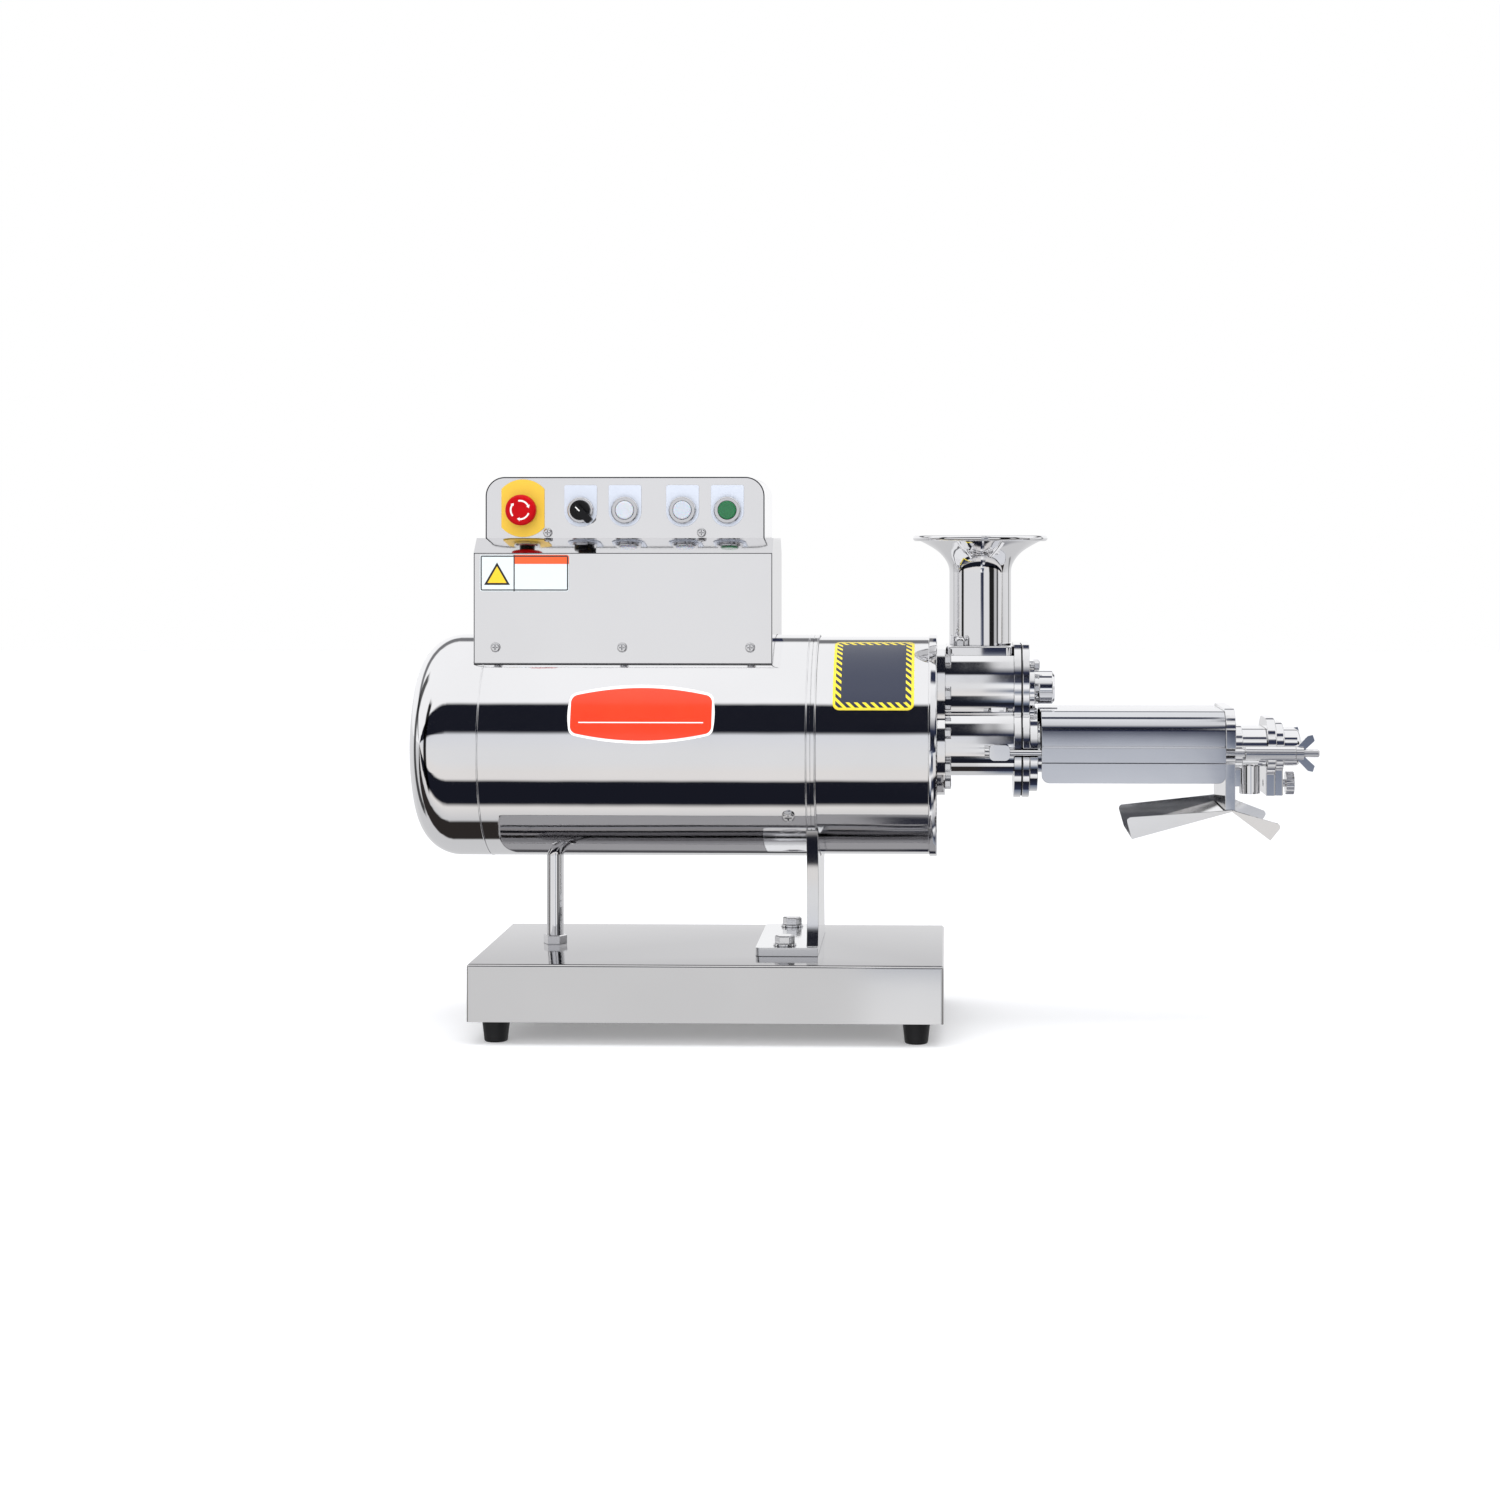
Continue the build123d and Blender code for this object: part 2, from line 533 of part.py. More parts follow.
def screw_body(side, start_turn, hand):
    """Helical squeezing part of one screw."""
    outline = []
    half_tip, half_root = 0.13, 0.24
    for k in range(SCREW_STARTS):
        a = 2 * pi * k / SCREW_STARTS + radians(start_turn)
        for offset, r in ((-half_root, SCREW_ROOT_R), (-half_tip, SCREW_TIP_R),
                          (half_tip, SCREW_TIP_R), (half_root, SCREW_ROOT_R)):
            outline.append((r * cos(a + offset), r * sin(a + offset)))
    section = make_face(Polyline(*outline, close=True))
    long = SCREW_MAIN_X1 - SCREW_GEAR_X1
    body = Solid.extrude_linear_with_rotation(section.face(), (0, 0, 0), (0, 0, long), hand * SCREW_TWIST)
    return Plane(origin=(SCREW_GEAR_X1, side * SCREW_Y, AXIS_Z), x_dir=(0, 1, 0), z_dir=(1, 0, 0)) * body


def screws():
    module = 2 * SCREW_Y / SCREW_GEAR_TEETH
    for node, side, start, hand in (("primary_screw", -1, 0, 1), ("secondary_screw", 1, 30, -1)):
        y = side * SCREW_Y
        turn = 0 if side < 0 else 180 / SCREW_GEAR_TEETH
        gear = gear_x(SCREW_GEAR_TEETH, module, SCREW_X0, SCREW_GEAR_X1, y, 0, turn, backlash=0.12)
        body = screw_body(side, start, hand)
        tail = rod_x(DRIVE_R, SCREW_MAIN_X1 - 1, SCREW_END_X1, y, 0)
        if side < 0:
            stub = rod_x(DRIVE_R, MID_PLATE_X[0] - 6, SCREW_X0 + 1, y, 0)
            core = rod_x(DRIVE_R, STAGE_TWO_X[0], SCREW_X0 + 1, y, 0)
            save(node, body + gear + tail + stub + core + drive_gears())
        else:
            stub = rod_x(DRIVE_R, COVER_X1 + 0.5, SCREW_X0 + 1, y, 0)
            save(node, body + gear + tail + stub)


def crushing_roller():
    module = roller_module()
    turn = roller_angle() + 180 + 180 / ROLLER_DRIVE_TEETH
    wheel = gear_x(ROLLER_DRIVE_TEETH, module, *ROLLER_DRIVE_X, 0, ROLLER_Z, turn)
    shaft = rod_x(INTERMEDIATE_R, MID_PLATE_X[0] + 1, BOSS_X1 - 6, 0, ROLLER_Z)
    roller = gear_x(10, 3.6, SCREW_X0, HOUSING_BODY_X1 + 2, 0, ROLLER_Z, 0, root_drop=1.0, tip_rise=0.6)
    save("crushing_roller", wheel + shaft + roller)


def gearbox_inside():
    y, z = intermediate_place()
    wall = BEARING_WALL
    rear = rod_x(GEARBOX_R - HEAVY_SHEET, *REAR_PLATE_X)
    rear -= rod_x(SHAFT_R + wall, REAR_PLATE_X[0] - 1, REAR_PLATE_X[1] + 1)
    rear -= rod_x(INTERMEDIATE_R + wall, REAR_PLATE_X[0] - 1, REAR_PLATE_X[1] + 1, y, z)
    middle = rod_x(GEARBOX_R - HEAVY_SHEET, *MID_PLATE_X)
    for hole_y, hole_z, r in ((y, z, INTERMEDIATE_R), (-SCREW_Y, 0, DRIVE_R), (0, ROLLER_Z, INTERMEDIATE_R)):
        middle -= rod_x(r + wall, MID_PLATE_X[0] - 1, MID_PLATE_X[1] + 1, hole_y, hole_z)
    save("gearbox_plates", rear, middle)

    bearings = [ring_x(SHAFT_R + wall, SHAFT_R + RUNNING, x0, x1) for x0, x1 in SHIELDS_X]
    bearings.append(ring_x(SHAFT_R + wall, SHAFT_R + RUNNING, *REAR_PLATE_X))
    bearings.append(ring_x(INTERMEDIATE_R + wall, INTERMEDIATE_R + RUNNING, *REAR_PLATE_X, y, z))
    bearings.append(ring_x(INTERMEDIATE_R + wall, INTERMEDIATE_R + RUNNING, *MID_PLATE_X, y, z))
    bearings.append(ring_x(DRIVE_R + wall, DRIVE_R + RUNNING, *MID_PLATE_X, -SCREW_Y, 0))
    bearings.append(ring_x(INTERMEDIATE_R + wall, INTERMEDIATE_R + RUNNING, *MID_PLATE_X, 0, ROLLER_Z))
    save("shaft_bearings", *bearings)

    seals = [ring_x(r + SEAL_WALL, r + RUNNING, GEARBOX_X1, COVER_X1, seal_y, seal_z)
             for seal_y, seal_z, r in ((-SCREW_Y, 0, DRIVE_R), (0, ROLLER_Z, INTERMEDIATE_R))]
    save("shaft_seals", *seals)


# ---- feed housing and flanges ----
def flange_sketch():
    """Figure-of-eight outline shared by the casing flange and the front plate."""
    lower = twin(FLANGE_LOWER_R, FLANGE_HALF_Y - FLANGE_LOWER_R)
    return rod_notches(lower + flat_topped(FLANGE_UPPER_R, FLANGE_TOP))


def flat_topped(radius, top):
    """Disc about the middle of the housing's upper bulge, cut off level at the top."""
    return circle_at(radius, 0, BODY_UPPER_Z) & Pos(0, top - radius) * Rectangle(4 * radius, 2 * radius)


def rod_notches(outline):
    """Open slots in both edges of a flange, which the tie rods lie in."""
    for side in (-1, 1):
        outline -= circle_at(ROD_R + 0.5, side * ROD_Y, ROD_Z)
        outline -= Pos(side * (ROD_Y + 10), ROD_Z) * Rectangle(20, 2 * ROD_R + 1)
    return outline


def chamber_sketch(r_screw, r_roller, neck):
    """Section through both screw bores and the roller bore above them."""
    bores = twin(r_screw, SCREW_Y) + circle_at(r_roller, 0, ROLLER_Z)
    return bores + Pos(0, ROLLER_Z / 2) * Rectangle(2 * neck, ROLLER_Z)


def feed_housing():
    x0, x1 = HOUSING_FLANGE_X
    rear = twin(REAR_FLANGE_R, REAR_FLANGE_HALF_Y - REAR_FLANGE_R)
    body = slab_x(rear + flat_topped(REAR_FLANGE_UPPER_R, REAR_FLANGE_TOP), x0, x1)
    collar_z = AXIS_Z + COLLAR_TOP - COLLAR_THICK
    above_foot = Pos(0, BODY_FOOT_Z + BODY_LOWER_R) * Rectangle(4 * BODY_LOWER_R, 2 * BODY_LOWER_R)
    bulges = twin(LOBE_R, SCREW_Y) + (circle_at(BODY_LOWER_R, 0, BODY_LOWER_Z) & above_foot)
    bulges += flat_topped(BODY_UPPER_R, collar_z - AXIS_Z)
    body += slab_x(bulges, x1 - 0.1, HOUSING_BODY_X1 + 0.1)
    body += slab_x(flange_sketch(), HOUSING_BODY_X1, CASING_FLANGE_X1)
    collar = block(x1 + 1, HOUSING_BODY_X1, -COLLAR_HALF_Y, COLLAR_HALF_Y, collar_z, AXIS_Z + COLLAR_TOP)
    collar = fillet(collar.edges().filter_by(Axis.Z), 9.0)
    collar = fillet(collar.faces().sort_by(Axis.Z)[-1].edges(), 2.0)
    body += collar
    body -= slab_x(chamber_sketch(BORE_R, ROLLER_BORE_R, NECK_HALF_Y), x1 + 4, CASING_FLANGE_X1 + 1)
    body -= rod_z(SPIGOT_R + 0.1, AXIS_Z + 88, AXIS_Z + COLLAR_TOP + 1, HOPPER_X, 0)
    body -= block(HOPPER_X - 26, HOPPER_X + 26, -18, 18, AXIS_Z + 60, AXIS_Z + 92)
    body -= rod_x(DRIVE_R + RUNNING, x0 - 1, x1 + 5, -SCREW_Y, 0)
    body -= rod_x(DRIVE_R + RUNNING, x0 + 0.4, x1 + 5, SCREW_Y, 0)
    body -= rod_x(INTERMEDIATE_R + RUNNING, x0 - 1, x1 + 5, 0, ROLLER_Z)
    for side in (-1, 1):
        for y, z in HOUSING_BOLTS:
            body -= rod_x(3.0, x0 - 1, x1 + 1, side * y, z)
        ear = block(134, 155, side * 47, side * (ROD_Y + 6), AXIS_Z + ROD_Z - 8, AXIS_Z + ROD_Z + 8)
        ear = fillet(ear.edges().filter_by(Axis.Y), 5.0)
        body += ear - rod_x(ROD_R, 133, 156, side * ROD_Y, ROD_Z)
    save("feed_housing", body)
    gasket = offset(flange_sketch(), amount=-1.6) - chamber_sketch(BORE_R, ROLLER_BORE_R, NECK_HALF_Y)
    save("casing_gasket", slab_x(gasket, CASING_FLANGE_X1, GASKET_X1))


def bolts():
    pieces = []
    for side in (-1, 1):
        for y, z in HOUSING_BOLTS:
            pieces.append(bolt_x(10.0, 6.5, 3.0, 8.2, HOUSING_FLANGE_X[1], side * y, z))
        for y, z in CAP_BOLTS:
            pieces.append(bolt_x(9.0, 5.5, 2.9, 4.0, SCREEN_FLANGE_X1 - 2.3, side * y, z))
    save("housing_bolts", *pieces)


def front_plates():
    plate = slab_x(flange_sketch() - twin(BORE_R, SCREW_Y) - circle_at(INTERMEDIATE_R + 2, 0, ROLLER_Z),
                   GASKET_X1, FRONT_PLATE_X1)
    save("front_plate", plate)
    boss = rod_x(BOSS_R, FRONT_PLATE_X1, BOSS_X1, 0, ROLLER_Z)
    boss = chamfer(boss.faces().sort_by(Axis.X)[-1].edges(), 2.5)
    rim = slab_x(circle_at(28.0, 0, ROLLER_Z) - Pos(0, ROLLER_Z - 24) * Rectangle(70, 12),
                 FRONT_PLATE_X1, SCREEN_FLANGE_X1 - 2.3)
    boss += rim
    boss -= rod_x(INTERMEDIATE_R + RUNNING, FRONT_PLATE_X1 - 1, BOSS_X1 - 5, 0, ROLLER_Z)
    for side in (-1, 1):
        for y, z in CAP_BOLTS:
            boss -= rod_x(2.9, FRONT_PLATE_X1 - 1, SCREEN_FLANGE_X1, side * y, z)
    save("roller_bearing_cap", boss)
    ring = rod_notches(Pos(0, -2.7) * twin(43.7, FLANGE_HALF_Y - 43.7))
    flange = slab_x(ring - twin(BORE_R, SCREW_Y), FRONT_PLATE_X1, SCREEN_FLANGE_X1)
    flange -= slab_x(circle_at(28.3, 0, ROLLER_Z), FRONT_PLATE_X1 - 1, SCREEN_FLANGE_X1 + 1)
    save("screen_flange", flange)


# ---- hopper ----
def hopper():
    """Trumpet on a tube, with a rolled lip and a spigot into the collar."""
    foot = AXIS_Z + COLLAR_TOP
    r, wall = HOPPER_R, HOPPER_WALL
    rim_r, rim_z = HOPPER_FLARE[-1]
    raised = [(flare_r - wall * 0.8, z + wall * 0.75) for flare_r, z in HOPPER_FLARE[1:-1]]
    with BuildSketch(Plane.XZ) as section:
        with BuildLine():
            outer = Spline(*HOPPER_FLARE, tangents=((0, 1), (1, 0.4)))
            inner = Spline((r - wall, HOPPER_FLARE[0][1]), *raised, (rim_r, rim_z + wall),
                           tangents=((0, 1), (1, 0.4)))
            Line(outer @ 1, inner @ 1)
            Polyline(outer @ 0, (r, foot), (SPIGOT_R, foot), (SPIGOT_R, foot - SPIGOT_DEPTH),
                     (SPIGOT_R - wall, foot - SPIGOT_DEPTH), (SPIGOT_R - wall, foot + 8.0),
                     (r - wall, foot + 11.0), inner @ 0)
        make_face()
        with Locations((rim_r, rim_z + wall / 2)):
            Circle(HOPPER_LIP_R)
    body = revolve(section.sketch, Axis.Z, 360)
    save("hopper", Pos(HOPPER_X, 0, 0) * body)


def dome_nut():
    x, y = 104.0, -34.0
    foot = AXIS_Z + COLLAR_TOP
    base = Pos(x, y, foot) * hexagon(11.0, 5.0)
    dome = Pos(x, y, foot + 5.0) * Sphere(5.4)
    save("dome_nut", base + (dome & block(x - 9, x + 9, y - 9, y + 9, foot + 4.9, foot + 14)))


# ---- press ----
def strainer_screen():
    shell = slab_x(twin(BORE_R + SCREEN_THICK, SCREW_Y) - twin(BORE_R, SCREW_Y), SCREEN_X0, SCREEN_X1)
    holes = []
    for side in (-1, 1):
        for angle in (-150, -120, -90, -60, -30):
            a = radians(angle if side > 0 else 180 - angle)
            if side * cos(a) < -0.4:
                continue
            for k in range(12):
                place = Plane(origin=(SCREEN_X0 + 14 + 15 * k, side * SCREW_Y, AXIS_Z),
                              z_dir=(0, cos(a), sin(a)))
                holes.append(place * Pos(0, 0, BORE_R) * Cylinder(2.0, 8.0))
    save("strainer_screen", shell - holes)


def hood_line(inset):
    """Outer or inner line of the hood's section, right half to left half."""
    top = HOOD_TOP - inset
    foot_y = HOOD_FOOT_Y - inset
    corner_y, corner_z = HOOD_FOOT_Y - HOOD_CORNER_R, HOOD_TOP - HOOD_CORNER_R
    reach = (HOOD_CORNER_R - inset) * sqrt(0.5)
    band_y = HOOD_BAND_Y - inset
    skirt_y = HOOD_SKIRT_Y - inset
    arch = Line((-foot_y, HOOD_FOOT_Z), (-foot_y, corner_z))
    arch += ThreePointArc((-foot_y, corner_z), (-corner_y - reach, corner_z + reach), (-corner_y, top))
    arch += Line((-corner_y, top), (corner_y, top))
    arch += ThreePointArc((corner_y, top), (corner_y + reach, corner_z + reach), (foot_y, corner_z))
    arch += Line((foot_y, corner_z), (foot_y, HOOD_FOOT_Z))
    right = [(foot_y, HOOD_FOOT_Z), (band_y, HOOD_FOOT_Z - 1.5), (band_y, HOOD_BAND_Z),
             (skirt_y, HOOD_BAND_Z - 1.2), (skirt_y, HOOD_SKIRT_Z)]
    left = [(-y, z) for y, z in reversed(right)]
    return arch, right, left


def hood():
    arch, right, left = hood_line(0)
    outer = make_face(arch + Polyline(*right, *left))
    arch, right, left = hood_line(SHEET)
    right[-1] = (right[-1][0], HOOD_SKIRT_Z - 1)
    left[0] = (left[0][0], HOOD_SKIRT_Z - 1)
    inner = make_face(arch + Polyline(*right, *left))
    shell = slab_x(outer - inner, HOOD_X0, HOOD_X1)
    mask = block(HOOD_X0, HOOD_X1, -90, 90, AXIS_Z + HOOD_SKIRT_Z, AXIS_Z + 60)
    low = mask.edges().filter_by(Axis.Y).group_by(Axis.Z)[0]
    shell &= fillet(low, 8.0)
    tab = block(HOOD_X0 - 1.6, HOOD_X0 + 18.5, -9, 9, AXIS_Z + HOOD_TOP - 1, AXIS_Z + HOOD_TOP + 1)
    save("hood", shell + tab)


def hanger_flange():
    upper = Pos(0, (HANGER_TOP - 20) / 2) * RectangleRounded(2 * HANGER_HALF_Y, HANGER_TOP + 20, 23.0)
    low = TRAY_TOP[1] + TRAY_SHEET - AXIS_Z
    plate = upper + Pos(0, low / 2) * Rectangle(2 * (TRAY_HALF_Y - 2.0), -low)
    plate = rod_notches(plate - twin(END_BORE_R, SCREW_Y))
    save("hanger_flange", slab_x(plate, HOOD_X1, HANGER_X1))
    plate = twin(23.0, SCREW_Y + 4) + Pos(0, -20.5) * Rectangle(52.0, 40.0) - twin(END_BORE_R, SCREW_Y)
    save("discharge_flange", slab_x(plate, HANGER_X1, DISCHARGE_FLANGE_X1))


def discharge_end():
    x0, x1 = DISCHARGE_FLANGE_X1, DISCHARGE_X1
    body = slab_x(twin(20.0, SCREW_Y), x0, x1)
    body += rod_z(SPOUT_R + 3, AXIS_Z + SPOUT_Z1, AXIS_Z, SPOUT_X, 0)
    body -= slab_x(twin(END_BORE_R, SCREW_Y), x0 - 1, x1 + 1)
    body -= rod_z(SPOUT_R, AXIS_Z + SPOUT_Z1 - 1, AXIS_Z, SPOUT_X, 0)
    save("discharge_housing", body)

    (a0, a1), (b0, b1) = END_FLANGE_X
    first = twin(31.0, 14.0) + Pos(0, -30) * Rectangle(56.0, 40.0)
    second = twin(26.0, 14.0) + Pos(0, -30) * Rectangle(50.0, 40.0)
    inner = slab_x(first - twin(END_BORE_R, SCREW_Y), a0, a1 + 0.4)
    outer = slab_x(second - twin(DRIVE_R + RUNNING, SCREW_Y), a1 + 0.4, b1)
    screw_hole = rod_x(KNOB_NECK_R + RUNNING, a0 - 1, b1 + 1, 0, KNOB_Z)
    save("end_flanges", break_rim(inner, 0.8) - screw_hole, break_rim(outer, 0.8) - screw_hole)
    cap = slab_x(twin(19.0, SCREW_Y - 2), b1, END_CAP_X1)
    cap = fillet(cap.faces().sort_by(Axis.X)[-1].edges(), 4.0)
    save("end_cap", cap)


def break_rim(solid, size):
    """Break the outer rim of a flange's outer face."""
    face = solid.faces().sort_by(Axis.X)[-1]
    return chamfer(face.outer_wire().edges(), size)


def pressure_knob():
    x0, x1 = KNOB_X
    knob = rod_x(KNOB_R, x0, x1, 0, KNOB_Z)
    for k in range(16):
        a = 2 * pi * k / 16
        knob -= rod_x(1.3, x0 - 1, x1 + 1, KNOB_R * cos(a), KNOB_Z + KNOB_R * sin(a))
    knob += rod_x(KNOB_NECK_R, END_FLANGE_X[0][0] + 1, x0 + 0.1, 0, KNOB_Z)
    save("pressure_knob", knob)


def tie_rods():
    rods, sleeves = [], []
    for side in (-1, 1):
        y = side * ROD_Y
        rod = rod_x(ROD_R, ROD_X0, ROD_X1, y, ROD_Z)
        rod = chamfer(rod.faces().sort_by(Axis.X)[-1].edges(), 1.2)
        rods.append(rod + rod_x(6.0, ROD_X0 - 5, ROD_X0, y, ROD_Z))
        sleeves.append(ring_x(SLEEVE_R, ROD_R, *SLEEVE_X, y, ROD_Z))
    save("tie_rods", *rods)
    save("rod_sleeves", *sleeves)


def wing_nuts():
    for node, side in (("wing_nut_front", -1), ("wing_nut_back", 1)):
        y = side * ROD_Y
        x0, x1 = WING_NUT_X
        hub = rod_x(WING_R, x0 + 0.1, x1, y, ROD_Z)
        wing = [(x0 + 2, 2), (x0 + 7.5, 2), (WING_X1, WING_SPAN - 6), (WING_X1 - 2, WING_SPAN),
                (WING_X1 - 7, WING_SPAN - 1), (x0 + 2, 7)]
        for sign in (-1, 1):
            outline = [(x, AXIS_Z + ROD_Z + sign * z) for x, z in wing]
            if sign < 0:
                outline.reverse()
            ear = prism_y(outline, y - 1.8, y + 1.8)
            hub += fillet(ear.edges().filter_by(Axis.Y).group_by(Axis.X)[-1], 1.2)
        save(node, hub - rod_x(ROD_R + RUNNING, x0 - 1, WING_X1 + 1, y, ROD_Z))


# ---- chute tray ----
def tray_half(end, wall, top):
    """One trough: a sloping floor and two side walls that lean outwards."""
    (x0, z0), (x1, z1) = top, end
    run = hypot(x1 - x0, z1 - z0)
    along = ((x1 - x0) / run, (z1 - z0) / run)
    up = (abs(along[1]) * (1 if x1 > x0 else -1), abs(along[0]))
    floor_line = [(x0, z0), (x1, z1), (x1 + up[0] * TRAY_SHEET, z1 + up[1] * TRAY_SHEET),
                  (x0, z0 + TRAY_SHEET)]
    trough = prism_y(floor_line, -TRAY_HALF_Y, TRAY_HALF_Y)
    for side, rise in ((-1, TRAY_SHEET), (1, TRAY_BACK_RISE)):
        outline = [(x0, z0), (x1, z1), (x1 + up[0] * wall, z1 + up[1] * wall), (x0, z0 + rise)]
        y_out = side * TRAY_HALF_Y
        sheet = prism_y(outline, *sorted((y_out, y_out - side * TRAY_SHEET)))
        corners = sheet.edges().filter_by(Axis.Y).sort_by(Axis.X)
        sheet = fillet(corners[0] if x1 < x0 else corners[-1], 4.0)
        lean = side * TRAY_FLARE * (1 if x1 < x0 else -1)
        trough += sheet.rotate(Axis((x0, y_out, z0), (x1 - x0, 0, z1 - z0)), lean)
    return trough


def chute_tray():
    left = tray_half(TRAY_LEFT_END, TRAY_WALL_LEFT, TRAY_TOP)
    right = tray_half(TRAY_RIGHT_END, TRAY_WALL_RIGHT, TRAY_TOP)
    save("chute_tray", left + right)


# ---- control box ----
def ledge_outline(inset):
    """Cross-section of the lower box in (y, height) with sloping ledges up to the cover."""
    y_front, y_back = -BOX_HALF_Y + inset, BOX_HALF_Y - inset
    return [(y_front, BOX_Z0 - 60), (y_front, BOX_Z1), (PANEL_Y + inset, PANEL_Z0 - inset),
            (PANEL_BACK_Y - inset, PANEL_Z0 - inset), (y_back, BOX_Z1), (y_back, BOX_Z0 - 60)]


def section_x(points, x0, x1):
    """Extrude an outline of (y, height) points along X."""
    face = make_face(Polyline(*[(x0, y, z) for y, z in points], close=True))
    return extrude(face, amount=x1 - x0, dir=(1, 0, 0))


def control_box():
    outer = section_x(ledge_outline(0), BOX_X0, BOX_X1)
    inner = section_x(ledge_outline(SHEET), BOX_X0 + SHEET, BOX_X1 - SHEET)
    shell = outer - inner
    shell -= rod_x(BARREL_R + 0.5, BOX_X0 - 1, BOX_X1 + 1)
    shell -= block(BOX_X0 - 1, BOX_X1 + 1, -BOX_HALF_Y - 1, BOX_HALF_Y + 1, 200, AXIS_Z + 40)
    shell -= block(PANEL_X0 + 12, PANEL_X1 - 12, PANEL_Y + 12, PANEL_BACK_Y - 12, PANEL_Z0 - 8, PANEL_Z0 + 2)
    for x in BOX_SCREW_X:
        shell -= rod_y(2.0, -BOX_HALF_Y - 1, -BOX_HALF_Y + 3, x, BOX_SCREW_Z)
    shell -= rod_y(8.0, BOX_HALF_Y - 3, BOX_HALF_Y + 1, GLAND_X, GLAND_Z)
    save("control_box", max(shell.solids(), key=lambda solid: solid.volume))


def cover_block(inset):
    """Upper cover with rounded top corners."""
    body = block(PANEL_X0 + inset, PANEL_X1 - inset, PANEL_Y + inset, PANEL_BACK_Y - inset,
                 PANEL_Z0 - (1 if inset else 0), PANEL_Z1 - inset)
    corners = body.edges().filter_by(Axis.Y).group_by(Axis.Z)[-1]
    return fillet(corners, PANEL_CORNER - inset)


def control_panel():
    cover = cover_block(0) - cover_block(SHEET)
    for x in (ESTOP_X, SELECTOR_X, REVERSE_X, LAMP_X, START_X):
        cover -= rod_y(CONTROL_HOLE_R, PANEL_Y - 1, PANEL_Y + 4, x, CONTROL_Z)
    for x in COVER_SCREW_X:
        cover -= rod_y(2.0, PANEL_Y - 1, PANEL_Y + 4, x, COVER_SCREW_Z)
    save("control_panel", cover)


def legend(x, width, high, corner):
    """Plate with a flat top and a rounded bottom behind one control."""
    z0 = CONTROL_Z - width / 2
    plate = block(x - width / 2, x + width / 2, PANEL_Y - PLATE_THICK, PANEL_Y, z0, z0 + high)
    edges = plate.edges().filter_by(Axis.Y).group_by(Axis.Z)
    plate = fillet(edges[0], corner)
    top = plate.edges().filter_by(Axis.Y).group_by(Axis.Z)[-1]
    plate = fillet(top, 2.0)
    return plate - rod_y(CONTROL_HOLE_R, PANEL_Y - 3, PANEL_Y + 1, x, CONTROL_Z)


def plates():
    save("legend_plates", *[legend(x, 34.0, 43.0, 16.0) for x in (SELECTOR_X, REVERSE_X, LAMP_X, START_X)])
    disc = rod_y(30.0, PANEL_Y - PLATE_THICK, PANEL_Y, ESTOP_X, CONTROL_Z + 2)
    disc &= block(ESTOP_X - 22.5, ESTOP_X + 22.5, -90, 0, 500, 600)
    save("estop_plate", disc - rod_y(CONTROL_HOLE_R, PANEL_Y - 3, PANEL_Y + 1, ESTOP_X, CONTROL_Z))


def bezel(x, outer, inner, proud):
    """Switch bezel in front of the panel with its threaded barrel and ring nut behind it."""
    front = PANEL_Y - PLATE_THICK
    rim = rod_y(outer, front - proud, front, x, CONTROL_Z)
    rim = chamfer(rim.faces().sort_by(Axis.Y)[0].edges(), 1.0)
    barrel_part = rod_y(CONTROL_HOLE_R, front, PANEL_Y + 14, x, CONTROL_Z)
    nut = rod_y(14.5, PANEL_Y + SHEET, PANEL_Y + SHEET + 5, x, CONTROL_Z)
    return rim + barrel_part + nut - rod_y(inner, front - proud - 1, PANEL_Y + 15, x, CONTROL_Z)


